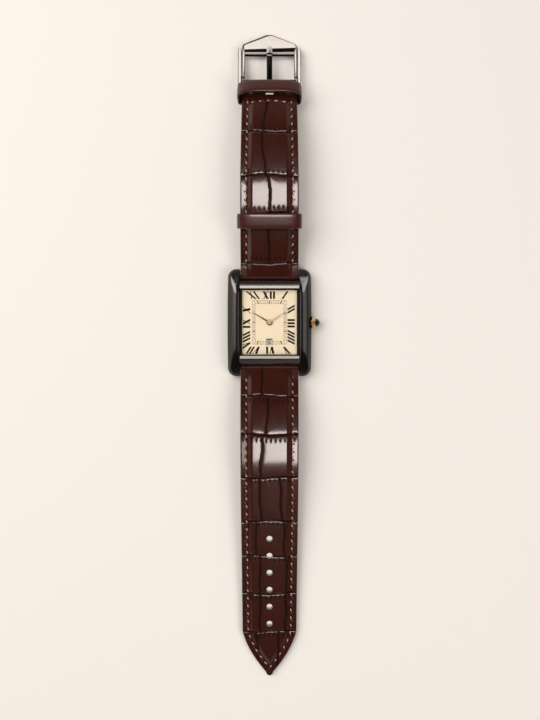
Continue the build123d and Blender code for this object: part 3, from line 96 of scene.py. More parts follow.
def add_node(
    tree: Tree, kind: str, inputs: dict[str, object] | None = None, settings: dict[str, object] | None = None
) -> Node:
    """Add one node to a tree.

    Args:
        tree: the tree of a material or of the world.
        kind: Blender's name of the node's type, without its first two words.
        inputs: for each input, a value, an output socket, or a node whose first output is linked.
        settings: the node's own options.

    Returns:
        The new node.
    """
    node = tree.nodes.new(f"ShaderNode{kind}")
    for name, value in (settings or {}).items():
        setattr(node, name, value)
    for name, value in (inputs or {}).items():
        socket = node.inputs[int(name)] if name.isdigit() else node.inputs[name]
        source = value.outputs[0] if isinstance(value, Node) else value
        if isinstance(source, Socket):
            tree.links.new(source, socket)
        else:
            socket.default_value = source
    return node


def empty_tree(owner: bpy.types.Material | bpy.types.World) -> Tree:
    """Empty the node tree of a new material or world and return it."""
    owner.use_nodes = True
    owner.node_tree.nodes.clear()
    return owner.node_tree


def blend(tree: Tree, factor: Node | Socket, first: object, second: object) -> Socket:
    """Mix two colours, each a linear colour or a socket, and return the mixed colour's socket."""
    inputs = {"Factor": factor, "6": first, "7": second}
    return add_node(tree, "Mix", inputs, {"data_type": "RGBA"}).outputs[2]


def ranged(
    tree: Tree, value: Node | Socket, to: Point, source: Point = (0.0, 1.0), style: str = "LINEAR"
) -> Node:
    """Map a value from one range to another and hold it there."""
    inputs = {"Value": value, "From Min": source[0], "From Max": source[1], "To Min": to[0], "To Max": to[1]}
    return add_node(tree, "MapRange", inputs, {"interpolation_type": style})


def material_of(name: str, look: Callable[[Tree], Node]) -> bpy.types.Material:
    """Return a material, built the first time it is asked for.

    Args:
        name: the material's name.
        look: adds the nodes and returns the last shader.
    """
    made = bpy.data.materials.get(name)
    if not made:
        made = bpy.data.materials.new(name)
        tree = empty_tree(made)
        add_node(tree, "OutputMaterial", {"Surface": look(tree)})
    return made


@dataclass(frozen=True)
class Finish:
    """What a surface is made of and how it was finished.

    The grain is a fine noise in millimetres that breaks up the gloss and the colour.
    """

    name: str
    colour: str
    shade: str
    roughness: float
    metallic: float = 0.0
    coat: float = 0.0
    ior: float = 1.5
    grain_mm: float = 0.6
    grain_bump: float = 0.05
    gloss_spread: float = 0.06
    brushed: bool = False

    def look(self, tree: Tree) -> Node:
        """Add the finish's nodes and return its shader."""
        stretch = (1.0, 0.04, 1.0) if self.brushed else (1.0, 1.0, 1.0)
        place = add_node(tree, "TexCoord").outputs["Object"]
        lay = add_node(tree, "Mapping", {"Vector": place, "Scale": stretch})
        grain = add_node(tree, "TexNoise", {"Vector": lay, "Scale": 1 / (self.grain_mm * MM), "Detail": 5.0})
        gloss = (max(0.02, self.roughness - self.gloss_spread), self.roughness + self.gloss_spread)
        relief = {"Height": grain, "Strength": self.grain_bump, "Distance": self.grain_mm * MM * 0.2}
        inputs = {
            "Base Color": blend(tree, grain, srgb(self.colour), srgb(self.shade)),
            "Roughness": ranged(tree, grain, gloss),
            "Normal": add_node(tree, "Bump", relief),
            "Metallic": self.metallic,
            "Coat Weight": self.coat,
            "Coat Roughness": 0.05,
            "IOR": self.ior,
        }
        return add_node(tree, "BsdfPrincipled", inputs)

    def material(self) -> bpy.types.Material:
        """Return the finish as a node material."""
        return material_of(self.name, self.look)


# Steel under a hard black plating: a dark mirror with warm reflections
BLACK_PLATING = Finish("black_plated_steel", "0d0b09", "14100d", 0.14, coat=0.25, gloss_spread=0.02)
# Painted shade: the steep flanks of the plating get a duller copy of it that mirrors little, so they stay
# black
BLACK_FLANK_PAINTED_SHADE = Finish("black_plated_flank", "0b0908", "100d0b", 0.3, ior=1.2, gloss_spread=0.03)
# Polished stainless steel: a neutral mirror
POLISHED_STEEL = Finish("polished_steel", "d9d8d6", "c9c8c6", 0.09, 1.0, gloss_spread=0.03)
# Buckle steel with painted light and shade: a pale copy for the faces in place of the pale room they mirror,
# a dark copy for its sides, and a plain dark copy with almost no gloss that paints the dark outline of its
# rounded rim
STEEL_PAINTED_LIGHT = Finish("steel_in_light", "e6e1db", "dad4ce", 0.14, 0.6, gloss_spread=0.03)
STEEL_PAINTED_SHADE = Finish("steel_in_shade", "2b2826", "1b1918", 0.12, 0.9, gloss_spread=0.03)
STEEL_RIM_PAINTED_SHADE = Finish("steel_rim", "201d1b", "151312", 0.3, ior=1.05)
# Brushed stainless steel: gloss drawn out along the brush
BRUSHED_STEEL = Finish(
    "brushed_steel", "c4c3c1", "aaa9a7", 0.34, 1.0, grain_mm=0.12, grain_bump=0.2, brushed=True
)
# Gold plating on turned brass, and the hands: one thin polished gold, in a darker copy that is painted shade
# and paler copies that are painted light, for parts that mirror less or more of the room
GOLD = Finish("gold_plating", "f0cf92", "dcb473", 0.2, 0.8, gloss_spread=0.03)
HAND_GOLD_PAINTED_SHADE = Finish("hand_gold", "b98a4e", "a17338", 0.3, 0.7, gloss_spread=0.04)
PALE_GOLD_PAINTED_LIGHT = Finish("pale_hand_gold", "ecd8ae", "dcc594", 0.32, 0.5, gloss_spread=0.04)
HUB_GOLD_PAINTED_LIGHT = Finish("hub_gold", "f6e4bd", "e9d3a4", 0.3, 0.3, gloss_spread=0.04)
# Bevel of the crystal, ground and polished: a pale silvery metal in place of glass, a painted reflection of
# the room that also mirrors the strip lamp
BEVEL_PAINTED_REFLECTION = Finish("ground_bevel", "e6e0da", "d6cfc8", 0.14, 0.85, coat=0.6, gloss_spread=0.02)
# Domed black stone, polished like glass
BLACK_STONE = Finish("polished_black_stone", "060607", "0b0b0d", 0.05, coat=1.0, gloss_spread=0.01)
# Warm cream under clear lacquer, and the inks printed on it
CREAM_LACQUER = Finish(
    "cream_dial_lacquer", "fff2d8", "ffe9c6", 0.32, coat=0.3, grain_mm=4.0, grain_bump=0.02
)
BLACK_INK = Finish("dial_ink", "090706", "100d0b", 0.45, grain_mm=0.2)
TRACK_INK = Finish("track_ink", "6a5d49", "574b3a", 0.5, grain_mm=0.2)
RIM_GREY = Finish("date_rim", "8f897e", "7f796f", 0.5, grain_mm=0.2)
GREY_INK = Finish("date_ink", "1c1b1a", "141312", 0.5, grain_mm=0.2)
BLACK_ENAMEL = Finish("black_enamel", "0d0c0b", "151311", 0.25, coat=0.4)
# Leather: paint brushed over the cut edge, the glazed keepers, the calf lining and the waxed thread
EDGE_PAINT = Finish("painted_leather_edge", "1a0d09", "26130c", 0.3, coat=0.4, grain_mm=0.8, grain_bump=0.2)
SMOOTH_LEATHER = Finish("smooth_glazed_leather", "4a1a10", "2f0e08", 0.32, coat=0.3, grain_bump=0.25)
LINING = Finish(
    "calf_lining", "7c4a2c", "60371f", 0.55, grain_mm=0.5, grain_bump=0.5, gloss_spread=0.1
)
THREAD = Finish("tan_thread", "cfa593", "a06c55", 0.45, grain_mm=0.15, grain_bump=0.6)
# Materials of the movement
BRASS = Finish("turned_brass", "cfa764", "b98f4c", 0.3, 1.0, grain_mm=0.2)
COPPER = Finish(
    "enamelled_copper", "c4703a", "9c5226", 0.35, 1.0, grain_mm=0.1, grain_bump=0.4, brushed=True
)
RUBBER = Finish("moulded_rubber", "151515", "1e1e1e", 0.7)
NYLON = Finish("moulded_nylon", "dedbd2", "cfccc2", 0.5)
BOARD = Finish("green_board", "1f5a37", "17462b", 0.45)
FELT = Finish("pressed_felt", "b49a78", "9c8262", 0.9, grain_mm=0.3, grain_bump=0.8)

SLOT_FINISHES: dict[str, Finish] = {
    "black_steel": BLACK_PLATING,
    "seal": RUBBER,
    "cream_dial": CREAM_LACQUER,
    "black_trim": BLACK_ENAMEL,
    "gold": GOLD,
    "stone": BLACK_STONE,
    "steel": POLISHED_STEEL,
    "brushed_steel": BRUSHED_STEEL,
    "movement_brass": BRASS,
    "white_plastic": NYLON,
    "green_board": BOARD,
    "copper": COPPER,
    "brown_leather": EDGE_PAINT,
    "lining_leather": LINING,
    "felt": FELT,
}


def pick(*pieces: Piece) -> None:
    """Select these pieces and nothing else, the first one active."""
    bpy.ops.object.select_all(action="DESELECT")
    for piece in pieces:
        piece.hide_set(False)
        piece.select_set(True)
    bpy.context.view_layer.objects.active = pieces[0]


def link(name: str, mesh: bpy.types.Mesh) -> Piece:
    """Add a mesh to the scene as an object of this name."""
    made = bpy.data.objects.new(name, mesh)
    bpy.context.scene.collection.objects.link(made)
    return made


def join(name: str, pieces: list[Piece]) -> Piece:
    """Join pieces into one object of this name."""
    pick(*pieces)
    bpy.ops.object.join()
    made = bpy.context.active_object
    made.name = name
    return made


def settle() -> None:
    """Put the place, turn and size of what is selected into its mesh."""
    bpy.ops.object.transform_apply(location=True, rotation=True, scale=True)


def apply_modifiers(piece: Piece) -> None:
    """Apply every modifier of a piece, from the first to the last."""
    pick(piece)
    for modifier in list(piece.modifiers):
        bpy.ops.object.modifier_apply(modifier=modifier.name)


def smooth(piece: Piece, angle: float) -> None:
    """Shade a piece smooth except across edges sharper than an angle in degrees."""
    pick(piece)
    bpy.ops.object.shade_smooth_by_angle(angle=math.radians(angle))


def edit(piece: Piece, step: Callable[..., object], **settings: object) -> None:
    """Run one mesh operator on everything in a piece.

    Args:
        piece: the mesh object.
        step: the operator.
        settings: what the operator is called with.
    """
    pick(piece)
    bpy.ops.object.mode_set(mode="EDIT")
    bpy.ops.mesh.select_all(action="SELECT")
    step(**settings)
    bpy.ops.object.mode_set(mode="OBJECT")


def outward(piece: Piece) -> None:
    """Turn the normals of a closed mesh outward."""
    edit(piece, bpy.ops.mesh.normals_make_consistent, inside=False)


def weld(piece: Piece, gap_mm: float = 0.002) -> None:
    """Merge vertices that lie nearer than a gap."""
    edit(piece, bpy.ops.mesh.remove_doubles, threshold=gap_mm * MM)


def close(piece: Piece) -> None:
    """Fill every open seam of a mesh."""
    edit(piece, bpy.ops.mesh.fill_holes, sides=0)


def dress(piece: Piece, *materials: bpy.types.Material) -> None:
    """Give a piece these materials in place of its own, slot by slot."""
    slots = piece.data.materials
    while len(slots) < len(materials):
        slots.append(None)
    while len(slots) > len(materials):
        slots.pop()
    for index, material in enumerate(materials):
        slots[index] = material


def mark(piece: Piece, choose: Callable[[bpy.types.MeshPolygon], int]) -> None:
    """Give each face of a piece the material slot that a rule chooses."""
    for face in piece.data.polygons:
        face.material_index = choose(face)


def solid_of(name: str, shape: bmesh.types.BMesh) -> Piece:
    """Turn a closed shape into an object with its normals outward."""
    bmesh.ops.recalc_face_normals(shape, faces=shape.faces[:])
    mesh = bpy.data.meshes.new(name)
    shape.to_mesh(mesh)
    shape.free()
    return link(name, mesh)


def sheet_of(
    name: str,
    columns: int,
    rows: int,
    place: Callable[[Array, Array], Array],
    finish_of: Callable[[Array], Array] | None = None,
) -> Piece:
    """Add a grid and lay each of its vertices where a function says.

    Args:
        name: the object's name.
        columns: faces across.
        rows: faces along.
        place: takes the shares across and along, both from 0 to 1, and returns places in mm.
        finish_of: takes the share across of each face and returns its material slot.

    Returns:
        The laid grid.
    """
    bpy.ops.object.select_all(action="DESELECT")
    bpy.ops.mesh.primitive_grid_add(x_subdivisions=columns, y_subdivisions=rows, size=2.0)
    made = bpy.context.active_object
    made.name = name
    mesh = made.data
    flat = np.empty(len(mesh.vertices) * 3)
    mesh.vertices.foreach_get("co", flat)
    flat = flat.reshape(-1, 3)
    if finish_of:
        middles = np.empty(len(mesh.polygons) * 3)
        mesh.polygons.foreach_get("center", middles)
        marks = finish_of((middles.reshape(-1, 3)[:, 0] + 1) / 2)
        for _ in range(int(marks.max()) + 1):
            mesh.materials.append(None)
        mesh.polygons.foreach_set("material_index", marks)
    laid = place((flat[:, 0] + 1) / 2, (flat[:, 1] + 1) / 2)
    mesh.vertices.foreach_set("co", (laid * MM).reshape(-1))
    mesh.update()
    return made


def slab(name: str, outlines: list[Outline], base: float, top: float) -> Piece:
    """Raise flat outlines in X and Y, all in mm, into closed slabs from base to top."""
    shape = bmesh.new()
    for outline in outlines:
        shape.faces.new([shape.verts.new((x * MM, y * MM, base * MM)) for x, y in outline])
    raised = bmesh.ops.extrude_face_region(shape, geom=shape.faces[:])
    moved = [part for part in raised["geom"] if isinstance(part, bmesh.types.BMVert)]
    bmesh.ops.translate(shape, vec=(0, 0, (top - base) * MM), verts=moved)
    return solid_of(name, shape)


def lathe(name: str, profile: list[Point], lay: Callable[[float, float, float], Vector]) -> Piece:
    """Turn a profile round an axis and lay it.

    Args:
        name: the object's name.
        profile: stations along the axis and radii, in mm; it closes on the axis or on itself.
        lay: gives the place of a point from its station and its two distances off the axis.

    Returns:
        The closed turned piece.
    """
    sides = 32
    turns = [2 * math.pi * k / sides for k in range(sides)]
    shape = bmesh.new()
    rings = []
    for station, radius in profile:
        if radius < 1e-6:
            rings.append([shape.verts.new(lay(station, 0.0, 0.0))])
        else:
            spots = [lay(station, radius * math.cos(t), radius * math.sin(t)) for t in turns]
            rings.append([shape.verts.new(spot) for spot in spots])
    for first, second in zip(rings, rings[1:]):
        for k in range(sides):
            n = (k + 1) % sides
            if len(first) == 1:
                shape.faces.new((first[0], second[n], second[k]))
            elif len(second) == 1:
                shape.faces.new((first[k], first[n], second[0]))
            else:
                shape.faces.new((first[k], first[n], second[n], second[k]))
    for ring in (rings[0], rings[-1]):
        if len(ring) > 1:
            shape.faces.new(ring)
    return solid_of(name, shape)


def loose_copy(node: str, name: str) -> Piece:
    """Copy a CAD node as a piece of its own, with its flat faces about to be made whole."""
    source = frame["nodes"][node]
    made = source.copy()
    made.data = source.data.copy()
    made.name = name
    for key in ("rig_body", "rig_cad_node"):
        if key in made:
            del made[key]
    made.parent = None
    bpy.context.scene.collection.objects.link(made)
    weld(made)
    thin = made.modifiers.new("thin", "DECIMATE")
    thin.decimate_type = "DISSOLVE"
    thin.angle_limit = math.radians(1.0)
    return made


def round_edges(piece: Piece, width_mm: float, segments: int, angle: float) -> None:
    """Round every edge sharper than an angle in degrees and apply all modifiers."""
    bevel = piece.modifiers.new("round", "BEVEL")
    bevel.width = width_mm * MM
    bevel.segments = segments
    bevel.limit_method = "ANGLE"
    bevel.angle_limit = math.radians(angle)
    apply_modifiers(piece)


def softened(node: str, edge_mm: float, material: bpy.types.Material, angle: float = 28.0) -> Piece:
    """Copy a CAD node and round its edges as polishing does; the copy stands for the node.

    Args:
        node: the CAD node.
        edge_mm: width of the rounding.
        material: what the copy is made of.
        angle: the flattest edge that is rounded, in degrees.

    Returns:
        The copy, in the node's place and on its body.
    """
    made = loose_copy(node, f"{node}_finish")
    round_edges(made, edge_mm, 3, angle)
    smooth(made, 40)
    dress(made, material)
    body = frame["nodes"][node]["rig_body"]
    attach(made, body)
    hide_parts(node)
    return made


@dataclass(frozen=True)
class Lamp:
    """Soft rectangular lamp, in mm and watts.

    A lamp that names no pieces looks at the watch, and nothing mirrors it. One that names how pieces begin
    is a card that only they mirror; it faces down, turned by two angles in degrees.
    """

    name: str
    place: Place
    size: Point
    watts: float
    colour: str = "fff6f0"
    mirrored_by: tuple[str, ...] = ()
    turn: Point = (0.0, 0.0)
    aim: Place = (0.0, -15.0, 0.0)

    def add(self) -> Piece:
        """Add the lamp to the scene."""
        bpy.ops.object.light_add(type="AREA", location=[value * MM for value in self.place])
        made = bpy.context.active_object
        made.name = self.name
        made.data.shape = "RECTANGLE"
        made.data.size = self.size[0] * MM
        made.data.size_y = self.size[1] * MM
        made.data.energy = self.watts
        made.data.color = srgb(self.colour)[:3]
        if not self.mirrored_by:
            look = Vector([(b - a) * MM for a, b in zip(self.place, self.aim)])
            made.rotation_euler = look.to_track_quat("-Z", "Y").to_euler()
            made.visible_glossy = False
            return made
        group = bpy.data.collections.new(f"{self.name}_mirrors")
        for piece in list(bpy.context.scene.objects):
            if piece.type == "MESH" and piece.name.startswith(self.mirrored_by):
                group.objects.link(piece)
        made.light_linking.receiver_collection = group
        made.rotation_euler = (math.radians(self.turn[0]), math.radians(self.turn[1]), 0)
        made.visible_camera = False
        made.visible_diffuse = False
        return made


CASE_PIECES = ("case_", "side_bar", "crown")
GLASS_PIECES = ("crystal", "case_", "crown")
STEEL_PIECES = ("buckle_frame", "buckle_prong")
SHORT_PIECES = ("strap_short", "short_", "free_", "fixed_")
LAMPS = (
    Lamp("window", (-520, 200, 620), (700, 700), 5.0, "fffaf6"),
    Lamp("pane", (-330, 46, 480), (420, 92), 0.21, mirrored_by=CASE_PIECES, turn=(0, -36)),
    Lamp("pane_top", (-230, 245, 450), (300, 350), 3.2, mirrored_by=("side_bar_left",), turn=(-28, -25)),
    Lamp("far_pane", (330, 40, 480), (420, 130), 0.26, mirrored_by=("side_bar",), turn=(0, 36)),
    Lamp("strip", (-60, 560, 370), (520, 200), 0.7, mirrored_by=GLASS_PIECES, turn=(-57, 0)),
    Lamp("top", (170, 238, 430), (260, 330), 1.8, mirrored_by=("side_bar_right",), turn=(-35, 18)),
    Lamp("metal", (0, 260, 267), (170, 80), 0.05, mirrored_by=STEEL_PIECES, turn=(-37, 0)),
    Lamp("far_metal", (0, 350, 325), (170, 130), 0.014, mirrored_by=STEEL_PIECES, turn=(-37, 0)),
    Lamp("fill", (460, -330, 560), (420, 420), 2.1, "fffaf6"),
    Lamp("head", (-60, 320, 560), (420, 220), 0.42, "ffffff"),
    Lamp("short_card", (8, 58, 200), (70, 52), 0.19, mirrored_by=SHORT_PIECES),
    Lamp("long_card", (16, -82, 200), (60, 60), 0.19, mirrored_by=("strap_long", "long_")),
)


@dataclass(frozen=True)
class Patch:
    """Flat piece of the stage: its name, middle, size and height in mm, and its material's name and look."""

    name: str
    place: Point
    size: Point
    height: float
    finish: str
    look: dict[str, object]

    def add(self) -> Piece:
        """Lay the patch down."""
        bpy.ops.mesh.primitive_plane_add(size=1.0, location=[v * MM for v in (*self.place, self.height)])
        made = bpy.context.active_object
        made.name = self.name
        made.scale = (self.size[0] * MM, self.size[1] * MM, 1.0)
        settle()
        dress(made, material_of(self.finish, lambda tree: add_node(tree, "BsdfPrincipled", self.look)))
        return made


TABLE_LOOK = {"Base Color": srgb("f8f4ef"), "Roughness": 0.9, "Specular IOR Level": 0.1}
# Painted light: a patch that glows in the table's colour, though it is no lamp
GLOW_PAINTED_LIGHT_LOOK = {
    "Base Color": srgb("000000"),
    "Roughness": 1.0,
    "Specular IOR Level": 0.0,
    "Emission Color": srgb("efe6dc"),
    "Emission Strength": 0.9,
}
# The pale table, and glowing patches of painted light under the punched holes and the prong's slot, where
# the table shows bright through them
PATCHES = (
    Patch("table_top", (0, 0), (1600, 1600), -0.02, "pale_table", TABLE_LOOK),
    Patch("lit_table_holes", (0, -87.4), (2.4, 33.0), -0.015, "lit_table", GLOW_PAINTED_LIGHT_LOOK),
    Patch("lit_table_slot", (0, 75.6), (2.6, 6.0), -0.015, "lit_table", GLOW_PAINTED_LIGHT_LOOK),
)


@dataclass
class PhotoStage:
    """Camera, table and light of the photograph: straight above, soft light from the left."""

    eye: Place = (0.17, -12.67, 250.0)
    lens_mm: float = 36.52
    sensor_mm: float = 36.0
    room_glow: float = 0.9
    ceiling_glow: float = 0.02
    fill_glow: float = 0.3
    seen_glow: float = 0.95

    def camera(self) -> None:
        """Add the camera that looks straight down and make it the scene's."""
        bpy.ops.object.camera_add(location=[value * MM for value in self.eye], rotation=(0, 0, 0))
        made = bpy.context.active_object
        made.name = "photo_camera"
        made.data.lens = self.lens_mm
        made.data.sensor_fit = "VERTICAL"
        made.data.sensor_width = self.sensor_mm
        made.data.sensor_height = self.sensor_mm
        made.data.clip_start = 0.01
        made.data.clip_end = 10.0
        bpy.context.scene.camera = made

    def air(self) -> None:
        """Give the world its light: pale to the camera, a dim room with a dark ceiling in mirrors."""
        world = bpy.data.worlds.new("studio")
        bpy.context.scene.world = world
        tree = empty_tree(world)
        ray = add_node(tree, "LightPath")
        place = add_node(tree, "TexCoord").outputs["Generated"]
        parts = add_node(tree, "SeparateXYZ", {"Vector": place})
        glow = (self.room_glow, self.ceiling_glow)
        height = ranged(tree, parts.outputs["Z"], glow, (0.35, 0.8), "SMOOTHSTEP")
        side = ranged(tree, parts.outputs["X"], (1.3, 0.5), (-0.9, 0.9))
        room = add_node(tree, "Math", {"0": height, "1": side}, {"operation": "MULTIPLY"})
        glows = (("efe9e0", self.fill_glow), ("f6efe6", room), ("fbf5ec", self.seen_glow))
        lit = [add_node(tree, "Background", {"Color": srgb(code), "Strength": glow}) for code, glow in glows]
        inner = add_node(tree, "MixShader", {"0": ray.outputs["Is Glossy Ray"], "1": lit[0], "2": lit[1]})
        whole = add_node(tree, "MixShader", {"0": ray.outputs["Is Camera Ray"], "1": inner, "2": lit[2]})
        add_node(tree, "OutputWorld", {"Surface": whole})

    def build(self) -> None:
        """Set up the whole stage."""
        self.camera()
        lamps = [lamp.add() for lamp in LAMPS]
        self.air()
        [patch.add() for patch in PATCHES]
        scene = bpy.context.scene
        scene.view_settings.view_transform = "Standard"
        scene.view_settings.look = "None"
        scene.render.resolution_x = 540
        scene.render.resolution_y = 720


def crocodile_look(tree: Tree) -> Node:
    """Glazed crocodile-grain leather: dark reddish brown, with painted shade, almost black, in the creases,
    the pits and beside the grooves, where the gloss is also taken off.
    """
    spot = add_node(tree, "TexCoord").outputs["Object"]
    crease_shade_node = add_node(tree, "Attribute", settings={"attribute_name": "crease"})
    crease = crease_shade_node.outputs["Fac"]
    cloud = add_node(tree, "TexNoise", {"Vector": spot, "Scale": 1 / (5.0 * MM), "Detail": 4.0})
    pores = add_node(tree, "TexNoise", {"Vector": spot, "Scale": 1 / (0.35 * MM), "Detail": 3.0})
    cells = add_node(
        tree, "TexVoronoi", {"Vector": spot, "Scale": 1 / (1.1 * MM)}, {"feature": "DISTANCE_TO_EDGE"}
    )
    lines = ranged(tree, cells.outputs["Distance"], (0.0, 1.0), (0.0, 0.12))
    fine = add_node(tree, "Bump", {"Height": lines, "Strength": 0.25, "Distance": 0.05 * MM})
    relief = {"Height": pores, "Strength": 0.35, "Distance": 0.05 * MM, "Normal": fine}
    ground = blend(tree, cloud, srgb("2c0e08"), srgb("431b11"))
    inputs = {
        # Painted shade: the crease mask darkens the colour towards near black and takes the coat off
        "Base Color": blend(tree, crease, ground, srgb("0c0403")),
        "Roughness": ranged(tree, pores, (0.24, 0.44)),
        "Normal": add_node(tree, "Bump", relief),
        "Coat Weight": ranged(tree, crease, (0.9, 0.04), (0.0, 0.3)),
        "Coat Roughness": 0.12,
        "Specular IOR Level": 0.12,
    }
    return add_node(tree, "BsdfPrincipled", inputs)


@dataclass(frozen=True)
class Arc:
    """One arc of a strap half's centre line, seen from the side, in mm and radians.

    The angle is measured from straight up towards +Y; bend is 1 when the middle lies below.
    """

    centre: Point
    radius: float
    start: float
    end: float
    bend: int = 1

    @property
    def length(self) -> float:
        """Length along the arc."""
        return abs(self.end - self.start) * self.radius

    def point(self, run: Array, lift: Array) -> tuple[Array, Array]:
        """Y and Z at a run along the arc, lifted square to it."""
        turn = self.start + (self.end - self.start) * run / self.length
        reach = self.bend * self.radius + lift
        return self.centre[0] + reach * np.sin(turn), self.centre[1] + reach * np.cos(turn)


# Faces round the loop of a strap half: on top, at a corner, down a side wall and below
TOP_FACES = 96
CORNER_FACES = 3
WALL_FACES = 2
UNDER_FACES = 24
SIDE_FACES = 2 * CORNER_FACES + WALL_FACES
UNDER_START = TOP_FACES + SIDE_FACES
UNDER_END = UNDER_START + UNDER_FACES
LOOP_FACES = UNDER_END + SIDE_FACES
# Section of the leather in mm: rounded edge, flat border, slope of the pad and its dome
EDGE_ROUND = 0.32
BORDER = 1.9
PAD_SLOPE = 2.2
PAD_DOME = 0.05
TIP_ROWS = 1.3
# Croc relief in mm: creases across, pits beside them, grooves along and pillows between
CREASE_DEPTH = 0.26
CREASE_WIDTH = 0.27
PIT_DEPTH = 0.07
PIT_LENGTH = 0.75
PIT_OFFSET = 1.5
PIT_PITCH = 1.6
GROOVE_DEPTH = 0.15
GROOVE_WIDTH = 0.22
# GROOVE_SHADE is the width of the painted shade beside each groove, SIDE_SHADE how dark the painted shade in
# pits and along grooves is
GROOVE_SHADE = 0.4
PILLOW = 0.09
SIDE_SHADE = 0.85
# Stitches in mm: where the line runs, and the pitch, half length, half width and slant of each
STITCH_INSET = 1.95
STITCH_START = 0.8
STITCH_PITCH = 2.65
HALF_STITCH = 0.55
THREAD_WIDTH = 0.24
THREAD_HEIGHT = 0.18
SLANT = 0.16


